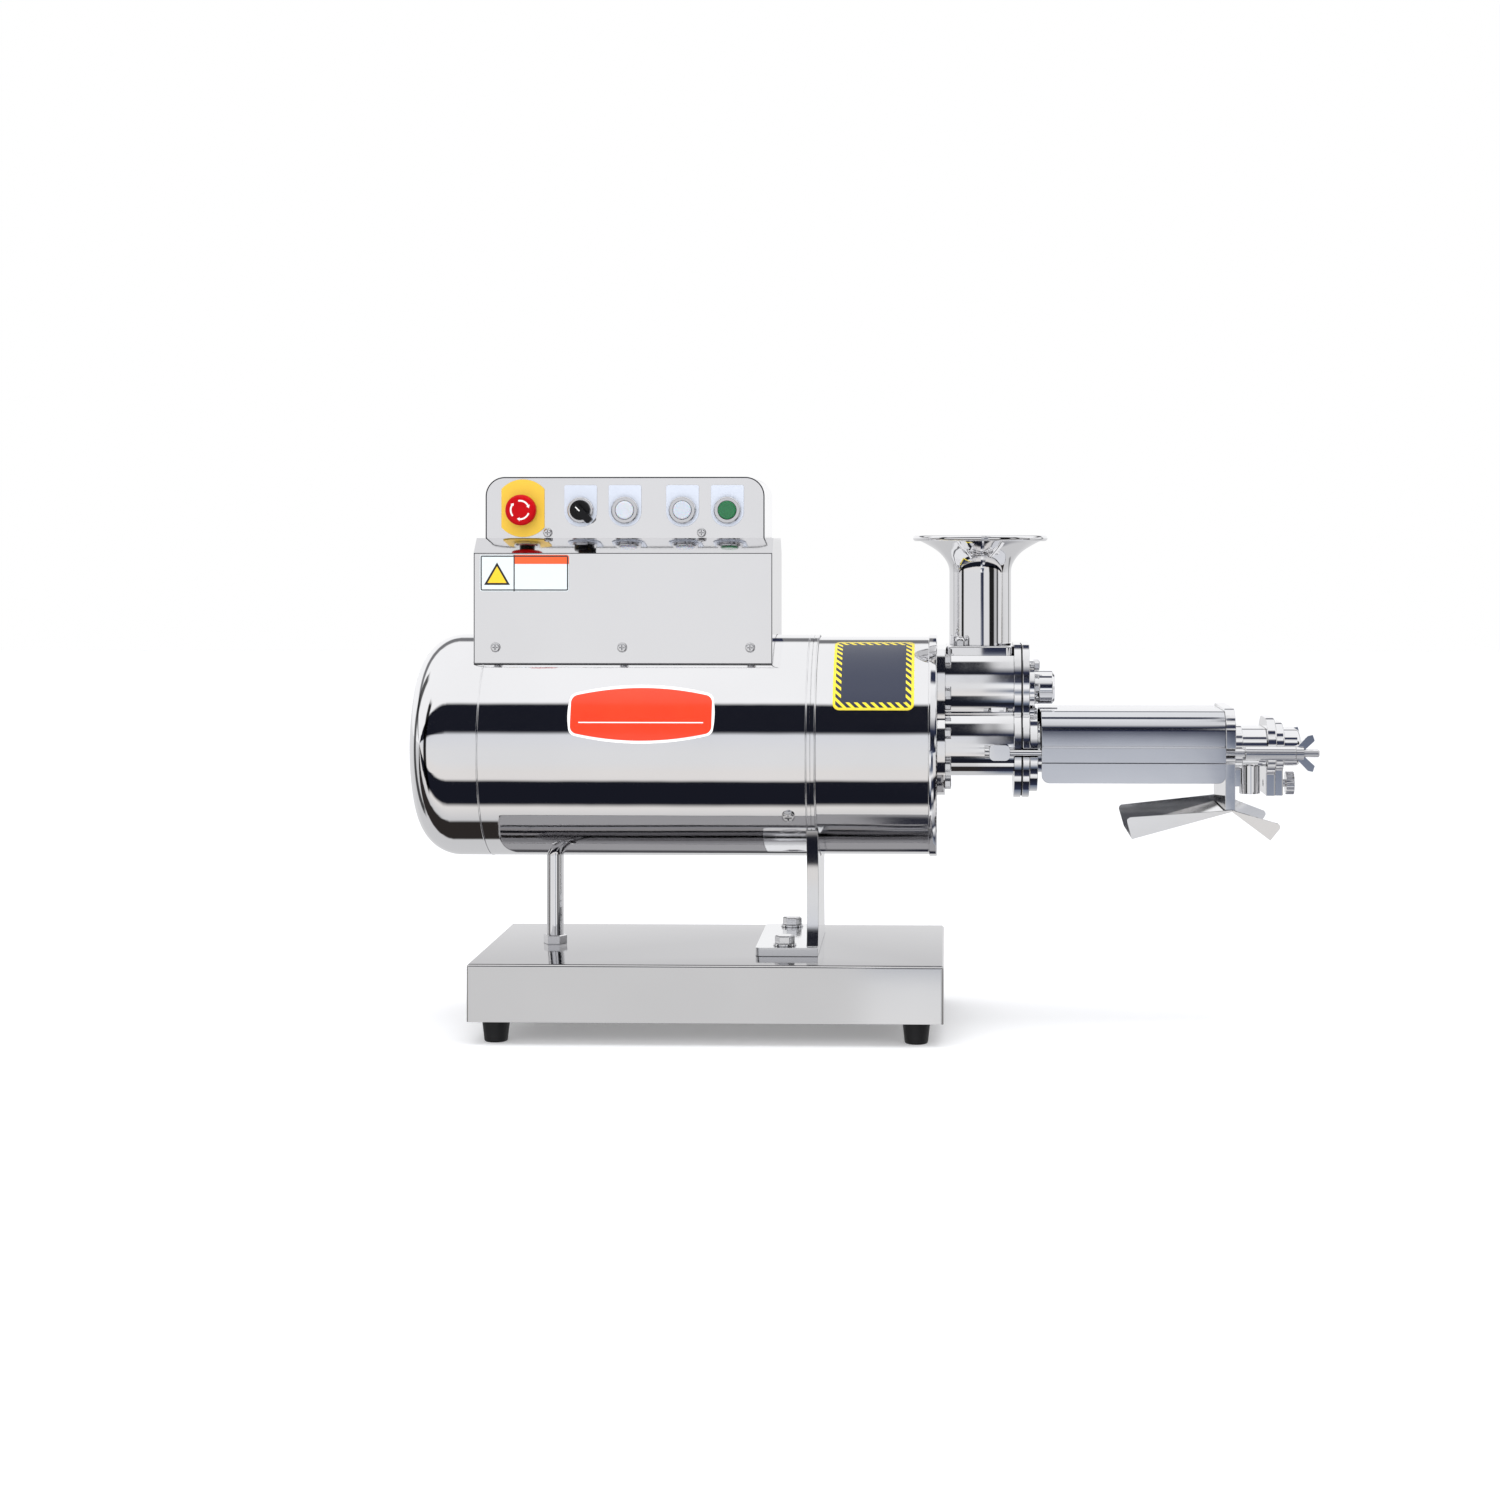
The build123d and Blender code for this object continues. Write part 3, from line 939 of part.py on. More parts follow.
def controls():
    front = PANEL_Y - PLATE_THICK
    save("control_bezels",
         bezel(ESTOP_X, 14.0, 8.0, 4.0), bezel(SELECTOR_X, 13.5, 8.0, 3.5),
         *[bezel(x, 14.0, 9.8, 4.2) for x in (REVERSE_X, LAMP_X, START_X)])
    for node, x in (("reverse_button", REVERSE_X), ("main_lamp_lens", LAMP_X), ("start_button", START_X)):
        lens = rod_y(9.5, front - 6.0, PANEL_Y + 6, x, CONTROL_Z)
        lens = fillet(lens.faces().sort_by(Axis.Y)[0].edges(), 1.6)
        stem = rod_y(4.0, PANEL_Y + 5, PANEL_Y + 17, x, CONTROL_Z)
        save(node, lens + stem)

    stem = rod_y(7.9, front - 8.0, PANEL_Y + 17, ESTOP_X, CONTROL_Z)
    stem += rod_y(4.0, front - 16.0, front - 7.9, ESTOP_X, CONTROL_Z)
    save("estop_stem", stem)
    head = rod_y(16.0, front - 19.5, front - 9.0, ESTOP_X, CONTROL_Z)
    head = fillet(head.faces().sort_by(Axis.Y)[0].edges(), 5.0)
    head = fillet(head.faces().sort_by(Axis.Y)[-1].edges(), 1.5)
    save("estop_head", head - rod_y(4.0 + RUNNING, front - 16.1, front - 8.0, ESTOP_X, CONTROL_Z))

    knob = rod_y(10.35, front - 8.5, front - 3.6, SELECTOR_X, CONTROL_Z)
    knob = chamfer(knob.faces().sort_by(Axis.Y)[0].edges(), 1.0)
    knob += rod_y(7.9, front - 3.7, PANEL_Y + 17, SELECTOR_X, CONTROL_Z)
    lever = Pos(SELECTOR_X, front - 12.0, CONTROL_Z) * Rot(0, 45, 0) * Pos(5.0, 0, 0) * Box(24.0, 10.0, 7.6)
    lever = fillet(lever.edges().filter_by(Axis.Y), 2.5)
    save("selector_knob", knob + lever)

    blocks = [block(x - 14, x + 14, PANEL_Y + 23, PANEL_Y + 55, CONTROL_Z - 15, CONTROL_Z + 15)
              for x in (ESTOP_X, SELECTOR_X, REVERSE_X, LAMP_X, START_X)]
    save("contact_blocks", *[fillet(piece.edges().filter_by(Axis.Y), 2.0) for piece in blocks])
    contactor = block(-200, -155, -30, 30, 411, 490) + block(-194, -161, -38, 38, 436, 478)
    save("contactor", contactor)


def cable_gland():
    flange = Plane(origin=(GLAND_X, BOX_HALF_Y, GLAND_Z), z_dir=(0, 1, 0)) * hexagon(24.0, 6.0)
    cap = rod_y(10.5, BOX_HALF_Y + 5.9, BOX_HALF_Y + 20, GLAND_X, GLAND_Z)
    cap = fillet(cap.faces().sort_by(Axis.Y)[-1].edges(), 3.0)
    thread = rod_y(8.0, BOX_HALF_Y - 12, BOX_HALF_Y + 0.1, GLAND_X, GLAND_Z)
    nut = Plane(origin=(GLAND_X, BOX_HALF_Y - SHEET - 5, GLAND_Z), z_dir=(0, 1, 0)) * hexagon(22.0, 5.0)
    gland = flange + cap + thread + nut
    save("cable_gland", gland - rod_y(GLAND_BORE_R, BOX_HALF_Y - 20, BOX_HALF_Y + 30, GLAND_X, GLAND_Z))


BUILDERS = (base_pan, rear_post, front_bracket, bracket_fasteners, barrel, pan_head_screws, labels,
            motor, intermediate_shaft, screws, crushing_roller, gearbox_inside, feed_housing, bolts,
            front_plates, hopper, dome_nut, strainer_screen, hood, hanger_flange, discharge_end,
            pressure_knob, tie_rods, wing_nuts, chute_tray, control_box, control_panel, plates, controls,
            cable_gland)
for builder in BUILDERS:
    builder()
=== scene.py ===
import math
import bpy
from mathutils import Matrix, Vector


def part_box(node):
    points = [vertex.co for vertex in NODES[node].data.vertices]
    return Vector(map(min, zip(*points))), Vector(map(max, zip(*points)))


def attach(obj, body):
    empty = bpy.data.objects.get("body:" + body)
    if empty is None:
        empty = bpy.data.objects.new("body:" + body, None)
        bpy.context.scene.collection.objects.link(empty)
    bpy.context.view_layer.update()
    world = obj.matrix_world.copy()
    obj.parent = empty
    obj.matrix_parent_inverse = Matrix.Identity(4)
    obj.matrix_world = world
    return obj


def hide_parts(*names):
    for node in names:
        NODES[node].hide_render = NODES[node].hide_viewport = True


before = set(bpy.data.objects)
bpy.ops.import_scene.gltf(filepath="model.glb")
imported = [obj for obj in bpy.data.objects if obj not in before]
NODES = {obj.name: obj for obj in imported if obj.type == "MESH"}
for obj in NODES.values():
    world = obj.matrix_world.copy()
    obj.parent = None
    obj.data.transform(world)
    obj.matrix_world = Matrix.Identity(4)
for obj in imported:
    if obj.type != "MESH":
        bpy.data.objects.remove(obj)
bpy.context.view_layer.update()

MM = 0.001

CREVICE_REACH = 3 * MM        # how far the painted shade reaches out of a corner
# tone of the painted shade that darkens crevices and joins between parts
CREVICE_SHADE_TONE = (0.10, 0.10, 0.115, 1.0)
BADGE_BOW = 9 * MM            # how far the badge's long sides bow outwards
BADGE_CORNER = 9 * MM
HAZARD_CORNER = 7 * MM
HAZARD_THICK = 0.45 * MM
STRIPE_PITCH = 8.4 * MM       # of the warning plate's striped band
TRIANGLE_SIDE = 27.5 * MM
PANEL_CORNER = 20 * MM
BOX_FRONT_TOP = 496.2 * MM    # fold between the box's front face and its sloping ledge
# radius of the painted shade lines along the box's and panel's edges
EDGE_SHADE_RADIUS = 0.6 * MM
KNOB_RADIUS = 10.35 * MM      # of the selector's round hub
WELD_REACH = 1e-6             # joins the vertices that the exported mesh doubles
FLAT_ANGLE = 0.5              # degrees; faces closer than this are one flat
SHARP_ANGLE = 35              # degrees; edges sharper than this get a round
FLOOR_HALF = 9.0

# The machine's drive axis, read from the barrel's own box.
SHELL_LOW, SHELL_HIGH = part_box("motor_shell")
AXIS_Z = (SHELL_LOW.z + SHELL_HIGH.z) / 2
BARREL_R = (SHELL_HIGH.z - SHELL_LOW.z) / 2


# ---------------------------------------------------------------- node helpers
class Graph:
    """A short way to write shader nodes."""

    def __init__(self, tree):
        self.tree = tree
        tree.nodes.clear()

    def node(self, kind, inputs=None, **settings):
        made = self.tree.nodes.new(kind)
        for key, value in settings.items():
            setattr(made, key, value)
        for key, value in (inputs or {}).items():
            self.feed(made.inputs[key], value)
        return made

    def feed(self, socket, value):
        if isinstance(value, bpy.types.NodeSocket):
            self.tree.links.new(value, socket)
        else:
            socket.default_value = value

    def math(self, operation, a, b=0.0, c=0.0):
        made = self.node("ShaderNodeMath", {0: a, 1: b, 2: c}, operation=operation)
        return made.outputs[0]

    def smooth(self, value, low, high):
        """0 below low, 1 above high, with a soft step between."""
        made = self.node("ShaderNodeMapRange", {"Value": value, "From Min": low, "From Max": high},
                         interpolation_type="SMOOTHSTEP")
        return made.outputs["Result"]

    def ramp(self, factor, stops, interpolation="LINEAR"):
        made = self.node("ShaderNodeValToRGB", {"Fac": factor})
        made.color_ramp.interpolation = interpolation
        elements = made.color_ramp.elements
        while len(elements) < len(stops):
            elements.new(0.5)
        for element, (place, colour) in zip(elements, stops):
            element.position = place
            element.color = (*colour, 1) if len(colour) == 3 else colour
        return made.outputs["Color"]

    def mix(self, factor, a, b):
        made = self.node("ShaderNodeMix", data_type="RGBA")
        self.feed(made.inputs[0], factor)
        self.feed(made.inputs[6], a)
        self.feed(made.inputs[7], b)
        return made.outputs[2]

    def point(self):
        """The place on the object at rest, in metres."""
        return self.node("ShaderNodeTexCoord").outputs["Object"]

    def parts(self, vector):
        made = self.node("ShaderNodeSeparateXYZ", {0: vector})
        return made.outputs[0], made.outputs[1], made.outputs[2]

    def vector(self, x, y, z=0.0):
        return self.node("ShaderNodeCombineXYZ", {0: x, 1: y, 2: z}).outputs[0]

    def stretched(self, scale):
        return self.node("ShaderNodeMapping", {"Vector": self.point(), "Scale": scale}).outputs[0]

    def noise(self, vector, scale, detail=3.0, roughness=0.5):
        made = self.node("ShaderNodeTexNoise", {"Vector": vector, "Scale": scale, "Detail": detail,
                                                "Roughness": roughness})
        return made.outputs["Fac"]

    def between(self, factor, low, high):
        made = self.node("ShaderNodeMapRange", {"Value": factor, "To Min": low, "To Max": high})
        return made.outputs["Result"]

    def bump(self, height, distance, strength=1.0):
        made = self.node("ShaderNodeBump", {"Height": height, "Distance": distance, "Strength": strength})
        return made.outputs["Normal"]


def new_material(name):
    material = bpy.data.materials.new(name)
    material.use_nodes = True
    return material, Graph(material.node_tree)


def principled(graph, inputs):
    shader = graph.node("ShaderNodeBsdfPrincipled", inputs)
    graph.node("ShaderNodeOutputMaterial", {"Surface": shader.outputs[0]})
    return shader


def srgb(r, g, b):
    """Linear colour from 0-255 values."""
    def one(value):
        value /= 255
        return value / 12.92 if value <= 0.04045 else ((value + 0.055) / 1.055) ** 2.4
    return (one(r), one(g), one(b), 1.0)


# ---------------------------------------------------------------- materials
def steel(name, tone, rough, grain=(1, 1, 1), grain_scale=900.0, grain_depth=0.0, tint=0.0, wave=0.0,
          top_shade_tone=None):
    """Stainless steel with painted shade darkening its crevices. grain stretches the finish lines; wave is the
    faint unevenness of rolled sheet; the top tone is a painted shade for faces that look upwards."""
    material, g = new_material(name)
    fine = g.noise(g.stretched(grain), grain_scale, 4.0, 0.6)
    cloud = g.noise(g.point(), 7.0, 3.0)
    smear = g.noise(g.point(), 38.0, 5.0, 0.65)
    polish = g.math("MULTIPLY_ADD", smear, 0.35, g.math("MULTIPLY", fine, 0.65))
    roughness = g.between(polish, rough[0], rough[1])
    low = [channel * (0.97 - tint) for channel in tone]
    colour = g.mix(g.smooth(cloud, 0.3, 0.7), (*low, 1), (*tone, 1))
    # Painted shade: faces that look upwards take the darker top tone.
    if top_shade_tone:
        upward = g.parts(g.node("ShaderNodeNewGeometry").outputs["Normal"])[2]
        colour = g.mix(g.smooth(upward, 0.6, 0.9), colour, (*top_shade_tone, 1))
    # Painted shade: ambient occlusion darkens the colour in crevices, under heads and where parts meet.
    crevice_shade = g.node("ShaderNodeAmbientOcclusion", {"Distance": CREVICE_REACH}, samples=4).outputs["AO"]
    colour = g.mix(g.smooth(crevice_shade, 0.15, 0.75), CREVICE_SHADE_TONE, colour)
    height = g.math("MULTIPLY_ADD", g.noise(g.point(), 12.0, 2.0), wave, g.math("MULTIPLY", fine, grain_depth))
    inputs = {"Base Color": colour, "Metallic": 1.0, "Roughness": roughness}
    if grain_depth or wave:
        inputs["Normal"] = g.bump(height, 1.0)
    principled(g, inputs)
    return material


def moulded(name, colour, rough=0.35, grain_depth=0.00002, coat=0.0, variation=0.06, gloss=0.5):
    """Moulded plastic or rubber with a fine surface grain."""
    material, g = new_material(name)
    grain = g.noise(g.point(), 1400.0, 2.0)
    cloud = g.noise(g.point(), 60.0, 4.0)
    dark = [channel * (1 - variation) for channel in colour[:3]]
    inputs = {"Base Color": g.mix(cloud, (*dark, 1), (*colour[:3], 1)), "Coat Weight": coat,
              "Roughness": g.between(g.noise(g.point(), 90.0), rough * 0.85, rough * 1.15),
              "Normal": g.bump(grain, grain_depth), "Coat Roughness": 0.04, "Specular IOR Level": gloss}
    principled(g, inputs)
    return material


def lens(name, colour, painted_glow=0.0):
    """Translucent switch lens with a ribbed diffuser seen through it; its glow is a painted faint light given
    off by the lens.
    """
    material, g = new_material(name)
    x, y, z = g.parts(g.point())
    rings = g.math("SINE", g.math("MULTIPLY", z, 5200.0))
    rows = g.math("SINE", g.math("MULTIPLY", x, 5200.0))
    dots = g.math("MULTIPLY", rings, rows)
    dark = [channel * 0.8 for channel in colour[:3]]
    inputs = {"Base Color": g.mix(g.smooth(dots, -0.6, 0.6), (*dark, 1), colour), "Roughness": 0.22,
              "Coat Weight": 1.0, "Coat Roughness": 0.03, "Subsurface Weight": 0.25,
              "Subsurface Scale": 0.004, "Normal": g.bump(dots, 0.00006),
              "Emission Color": colour, "Emission Strength": painted_glow}
    principled(g, inputs)
    return material


def rounded_distance(g, u, v, half_u, half_v, corner):
    """Signed distance to a rounded rectangle about the origin."""
    du = g.math("SUBTRACT", g.math("ABSOLUTE", u), half_u - corner)
    dv = g.math("SUBTRACT", g.math("ABSOLUTE", v), half_v - corner)
    outer_u, outer_v = g.math("MAXIMUM", du, 0.0), g.math("MAXIMUM", dv, 0.0)
    length = g.math("SQRT", g.math("ADD", g.math("MULTIPLY", outer_u, outer_u),
                                   g.math("MULTIPLY", outer_v, outer_v)))
    inside = g.math("MINIMUM", g.math("MAXIMUM", du, dv), 0.0)
    return g.math("SUBTRACT", g.math("ADD", length, inside), corner)


def film(g, colour, rough=0.32):
    """Printed film: the colour pattern under a clear coat with faint scuffs."""
    scuff = g.noise(g.point(), 120.0, 5.0, 0.7)
    principled(g, {"Base Color": colour, "Roughness": g.between(scuff, rough * 0.7, rough * 1.3),
                   "Coat Weight": 0.4, "Coat Roughness": 0.08,
                   "Normal": g.bump(g.noise(g.point(), 900.0), 0.00001)})


def maker_film(low, high):
    """Orange badge with a white border and one white rule, no lettering."""
    material, g = new_material("maker_film")
    x, _, z = g.parts(g.point())
    u = g.math("SUBTRACT", x, (low.x + high.x) / 2)
    v = g.math("SUBTRACT", z, (low.z + high.z) / 2)
    half_u, half_v = (high.x - low.x) / 2, (high.z - low.z) / 2
    along = g.math("DIVIDE", u, half_u)
    bowed = g.math("MULTIPLY_ADD", g.math("MULTIPLY", along, along), BADGE_BOW,
                   g.math("ABSOLUTE", v))
    edge = rounded_distance(g, u, bowed, half_u, half_v, BADGE_CORNER)
    border = g.smooth(edge, -3.1 * MM, -2.7 * MM)
    above_rule = g.math("ABSOLUTE", g.math("ADD", v, 8 * MM))
    line = g.math("MULTIPLY", g.smooth(above_rule, 0.7 * MM, 0.4 * MM),
                  g.smooth(g.math("ABSOLUTE", u), half_u - 11 * MM, half_u - 12 * MM))
    cloud = g.noise(g.point(), 30.0, 4.0)
    orange = g.mix(cloud, srgb(238, 52, 14), srgb(243, 62, 20))
    film(g, g.mix(g.math("MAXIMUM", border, line), orange, srgb(252, 250, 248)))
    return material


def lies_at(y, z):
    """Angle of a point of the barrel's front side above the horizontal."""
    return math.atan2(z - AXIS_Z, -y)


def hazard_film(low, high):
    """Dark plate with a yellow line and a striped band round it, no lettering."""
    material, g = new_material("hazard_film")
    radius = math.hypot(low.y, low.z - AXIS_Z)
    foot, top = lies_at(low.y, low.z), lies_at(high.y, high.z)
    x, y, z = g.parts(g.point())
    angle = g.math("ARCTAN2", g.math("SUBTRACT", z, AXIS_Z), g.math("MULTIPLY", y, -1.0))
    u = g.math("SUBTRACT", x, (low.x + high.x) / 2)
    v = g.math("MULTIPLY", g.math("SUBTRACT", angle, (foot + top) / 2), radius)
    half_u, half_v = (high.x - low.x) / 2, (top - foot) * radius / 2
    edge = rounded_distance(g, u, v, half_u, half_v, HAZARD_CORNER)
    slant = g.math("FRACT", g.math("DIVIDE", g.math("ADD", u, v), STRIPE_PITCH))
    stripe = g.math("MULTIPLY", g.smooth(slant, 0.50, 0.54), g.smooth(slant, 1.0, 0.96))
    yellow, navy = srgb(246, 222, 52), srgb(40, 46, 66)
    band = g.math("MULTIPLY", g.smooth(edge, -8.6 * MM, -8.3 * MM), stripe)
    outline = g.smooth(edge, -2.8 * MM, -2.5 * MM)
    colour = g.mix(g.math("MAXIMUM", band, outline), navy, yellow)
    film(g, colour)
    return material


def voltage_film(low, high):
    """White plate with an orange head strip and a plain yellow triangle."""
    material, g = new_material("voltage_film")
    x, _, z = g.parts(g.point())
    wide, tall = high.x - low.x, high.z - low.z
    u = g.math("SUBTRACT", x, low.x)
    v = g.math("SUBTRACT", z, low.z)
    split = wide * 0.385
    head = g.math("MULTIPLY", g.smooth(u, split + 0.2 * MM, split + 0.5 * MM),
                  g.smooth(v, tall * 0.745, tall * 0.755))
    rule = g.smooth(g.math("ABSOLUTE", g.math("SUBTRACT", u, split)), 0.75 * MM, 0.55 * MM)
    centre_u, foot = split / 2, tall * 0.17
    height = TRIANGLE_SIDE * math.sqrt(3) / 2
    rise = g.math("SUBTRACT", v, foot)
    half_width = g.math("MULTIPLY", g.math("SUBTRACT", height, rise), TRIANGLE_SIDE / 2 / height)
    slope = g.math("SUBTRACT", half_width, g.math("ABSOLUTE", g.math("SUBTRACT", u, centre_u)))
    reach = g.math("MINIMUM", g.math("MULTIPLY", slope, 0.87), rise)
    triangle = g.smooth(reach, 0.0, 0.3 * MM)
    inner = g.smooth(reach, 2.1 * MM, 2.4 * MM)
    rim = rounded_distance(g, g.math("SUBTRACT", u, wide / 2),
                           g.math("SUBTRACT", v, tall / 2), wide / 2, tall / 2, 2.5 * MM)
    line = g.math("MULTIPLY", g.smooth(rim, -2.1 * MM, -1.9 * MM), g.smooth(rim, -0.6 * MM, -0.8 * MM))
    colour = g.mix(head, srgb(222, 230, 233), srgb(240, 92, 34))
    colour = g.mix(triangle, colour, srgb(20, 20, 20))
    colour = g.mix(inner, colour, srgb(250, 205, 30))
    colour = g.mix(g.math("MAXIMUM", rule, line), colour, srgb(40, 40, 42))
    film(g, colour, 0.4)
    return material


MIRROR = steel("mirror_steel", (0.90, 0.90, 0.91), (0.025, 0.06), grain=(1, 1, 1), grain_scale=260.0,
               wave=0.00018)
SHEET_MIRROR = steel("sheet_mirror", (0.87, 0.875, 0.885), (0.07, 0.13), grain=(0.03, 1, 1), grain_scale=700.0,
                     grain_depth=0.0000012, wave=0.0001)
SATIN = steel("satin_steel", (0.74, 0.735, 0.735), (0.06, 0.11), grain=(0.02, 1, 1), grain_scale=1500.0,
              grain_depth=0.0000012, top_shade_tone=(0.34, 0.335, 0.345))
BOX_SATIN = steel("box_satin", (0.95, 0.948, 0.955), (0.05, 0.09), grain=(0.02, 1, 1), grain_scale=1500.0,
                  grain_depth=0.000001, top_shade_tone=(0.52, 0.52, 0.54))
HOOD_STEEL = steel("hood_steel", (0.74, 0.75, 0.78), (0.04, 0.08), grain=(0.03, 1, 1), grain_scale=700.0,
                   grain_depth=0.0000008, wave=0.00012)
TURNED = steel("turned_steel", (0.84, 0.84, 0.85), (0.08, 0.2), grain_scale=500.0)
GEAR = steel("gear_steel", (0.66, 0.66, 0.67), (0.18, 0.32), grain=(0.1, 1, 1), grain_scale=900.0,
             grain_depth=0.000004)
IRON = steel("motor_iron", (0.25, 0.26, 0.28), (0.4, 0.6), grain_scale=400.0, grain_depth=0.00002)
RUBBER = moulded("black_rubber", srgb(18, 19, 22), 0.55, 0.00005)
BLACK = moulded("black_plastic", srgb(12, 12, 15), 0.25, 0.00001, gloss=0.25)
RED = moulded("red_plastic", srgb(196, 2, 16), 0.3, 0.000006, variation=0.25, gloss=0.12)
YELLOW = moulded("yellow_plate", srgb(240, 198, 72), 0.4, 0.00001, gloss=0.2)
WHITE_PAINT = moulded("white_paint", srgb(238, 238, 236), 0.35, 0.00001)
LEGEND = moulded("legend_plate", srgb(206, 212, 224), 0.35, 0.000004, variation=0.03, gloss=0.3)
# Dark material of the painted shade lines along the box's and panel's edges.
EDGE_SHADE = moulded("painted_edge_shade", srgb(30, 32, 40), 0.5, 0.00002, gloss=0.2)
BEZEL = steel("bezel_metal", (0.78, 0.78, 0.80), (0.12, 0.22), grain_scale=800.0)
WHITE_LENS = lens("white_lens", srgb(212, 217, 226))
CLEAR_LENS = lens("clear_lens", srgb(206, 213, 224))
# Painted light: the green start lens glows faintly, though it is no lamp.
GREEN_LENS = lens("green_lens", srgb(12, 110, 62), 0.03)

NODE_MATERIALS = {
    SHEET_MIRROR: ("chute_tray", "strainer_screen", "front_bracket"),
    HOOD_STEEL: ("hood",),
    SATIN: ("base_pan",),
    BOX_SATIN: ("control_box", "control_panel"),
    TURNED: ("bracket_fasteners", "housing_bolts", "pan_head_screws", "rear_post_nut", "dome_nut"),
    GEAR: ("rotor", "intermediate_shaft", "primary_screw", "secondary_screw", "crushing_roller",
           "shaft_bearings"),
    IRON: ("stator", "motor_end_shields", "gearbox_plates"),
    RUBBER: ("rubber_feet", "casing_gasket", "shaft_seals"),
    BLACK: ("selector_knob", "estop_stem", "contact_blocks", "contactor", "cable_gland"),
    RED: ("estop_head",),
    YELLOW: ("estop_plate",),
    LEGEND: ("legend_plates",),
    BEZEL: ("control_bezels",),
    WHITE_LENS: ("reverse_button",),
    CLEAR_LENS: ("main_lamp_lens",),
    GREEN_LENS: ("start_button",),
}


def dress(node, material):
    mesh = NODES[node].data
    mesh.materials.clear()
    mesh.materials.append(material)


def dress_nodes():
    for node in NODES:
        dress(node, MIRROR)
    for material, names in NODE_MATERIALS.items():
        for node in names:
            dress(node, material)
    dress("maker_plate", maker_film(*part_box("maker_plate")))
    dress("voltage_plate", voltage_film(*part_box("voltage_plate")))


# ---------------------------------------------------------------- geometry detail
EDGE_BREAKS = {
    1.2: ("control_box", "control_panel"),
    0.7: ("base_pan", "front_bracket", "front_plate", "hanger_flange"),
    0.5: ("feed_housing", "screen_flange", "discharge_flange", "discharge_housing",
          "end_flanges", "front_cover", "rod_sleeves", "wing_nut_front", "wing_nut_back",
          "roller_bearing_cap", "selector_knob"),
    0.35: ("hood", "chute_tray", "bracket_fasteners", "rear_post_nut", "end_cap",
           "cable_gland"),
    0.25: ("housing_bolts", "pressure_knob", "control_bezels", "dome_nut", "tie_rods"),
}


def break_edges(node, width):
    """Small real rounds on the sharp edges of a machined or folded part."""
    part = NODES[node]
    mesh = part.data
    for attribute in ("custom_normal", "sharp_edge"):
        if attribute in mesh.attributes:
            mesh.attributes.remove(mesh.attributes[attribute])
    mesh.shade_smooth()
    weld = part.modifiers.new("weld", "WELD")
    weld.merge_threshold = WELD_REACH
    merge = part.modifiers.new("merge_flat", "DECIMATE")
    merge.decimate_type = "DISSOLVE"
    merge.angle_limit = math.radians(FLAT_ANGLE)
    bevel = part.modifiers.new("edge_break", "BEVEL")
    bevel.width = width
    bevel.segments = 2
    bevel.limit_method = "ANGLE"
    bevel.angle_limit = math.radians(SHARP_ANGLE)
    bevel.harden_normals = True


def break_all_edges():
    for width, nodes in EDGE_BREAKS.items():
        for node in nodes:
            break_edges(node, width * MM)


def new_piece(name, vertices, faces, material, body):
    mesh = bpy.data.meshes.new(name)
    mesh.from_pydata(vertices, [], faces)
    mesh.update()
    mesh.shade_smooth()
    mesh.materials.append(material)
    piece = bpy.data.objects.new(name, mesh)
    bpy.context.scene.collection.objects.link(piece)
    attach(piece, body)
    return piece


def around(x, radius, angle):
    """Point at a radius about the drive axis; the angle rises from the front side."""
    return (x, -radius * math.cos(angle), AXIS_Z + radius * math.sin(angle))


def turned(name, profile, material, steps=256):
    """Ring turned about the drive axis from a closed profile of (x, radius) points."""
    count = len(profile)
    vertices = [around(x, radius, 2 * math.pi * k / steps)
                for k in range(steps) for x, radius in profile]
    faces = []
    for k in range(steps):
        here, there = k * count, (k + 1) % steps * count
        for j in range(count):
            n = (j + 1) % count
            faces.append((here + j, there + j, there + n, here + n))
    return new_piece(name, vertices, faces, material, "frame")


def bead(x, radius, half_width, proud, sink=0.3 * MM, points=8):
    """Half-round bead profile standing proud of a shell."""
    turns = [math.pi * k / points for k in range(points + 1)]
    rise = [(x + half_width * math.cos(a), radius + proud * math.sin(a)) for a in turns]
    return rise + [(x - half_width, radius - sink), (x + half_width, radius - sink)]


def edge_shade_line(name, points, closed=False):
    """Thin dark line along points that lie in one upright plane: painted shade along an edge."""
    curve = bpy.data.curves.new(name, "CURVE")
    curve.dimensions = "3D"
    curve.bevel_depth = EDGE_SHADE_RADIUS
    curve.bevel_resolution = 2
    line = curve.splines.new("POLY")
    line.points.add(len(points) - 1)
    for target, spot in zip(line.points, points):
        target.co = (*spot, 1)
    line.use_cyclic_u = closed
    curve.materials.append(EDGE_SHADE)
    piece = bpy.data.objects.new(name, curve)
    bpy.context.scene.collection.objects.link(piece)
    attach(piece, "frame")


def add_sheet_edge_shades():
    """Painted shade: dark lines round the box's front face and the panel's rim."""
    low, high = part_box("control_box")
    half = EDGE_SHADE_RADIUS
    front = low.y + 0.15 * MM
    left, right = low.x + half, high.x - half
    edge_shade_line("box_edge_shade", [(left, front, low.z + half), (right, front, low.z + half),
                      (right, front, BOX_FRONT_TOP), (left, front, BOX_FRONT_TOP)], closed=True)
    low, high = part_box("control_panel")
    reach, centre_z = PANEL_CORNER - half, high.z - PANEL_CORNER
    rim = [(low.x + half, low.y, low.z)]
    for centre_x, start in ((low.x + PANEL_CORNER, 180), (high.x - PANEL_CORNER, 90)):
        for k in range(13):
            a = math.radians(start - 7.5 * k)
            rim.append((centre_x + reach * math.cos(a), low.y, centre_z + reach * math.sin(a)))
    rim.append((high.x - half, low.y, low.z))
    edge_shade_line("panel_edge_shade", rim)


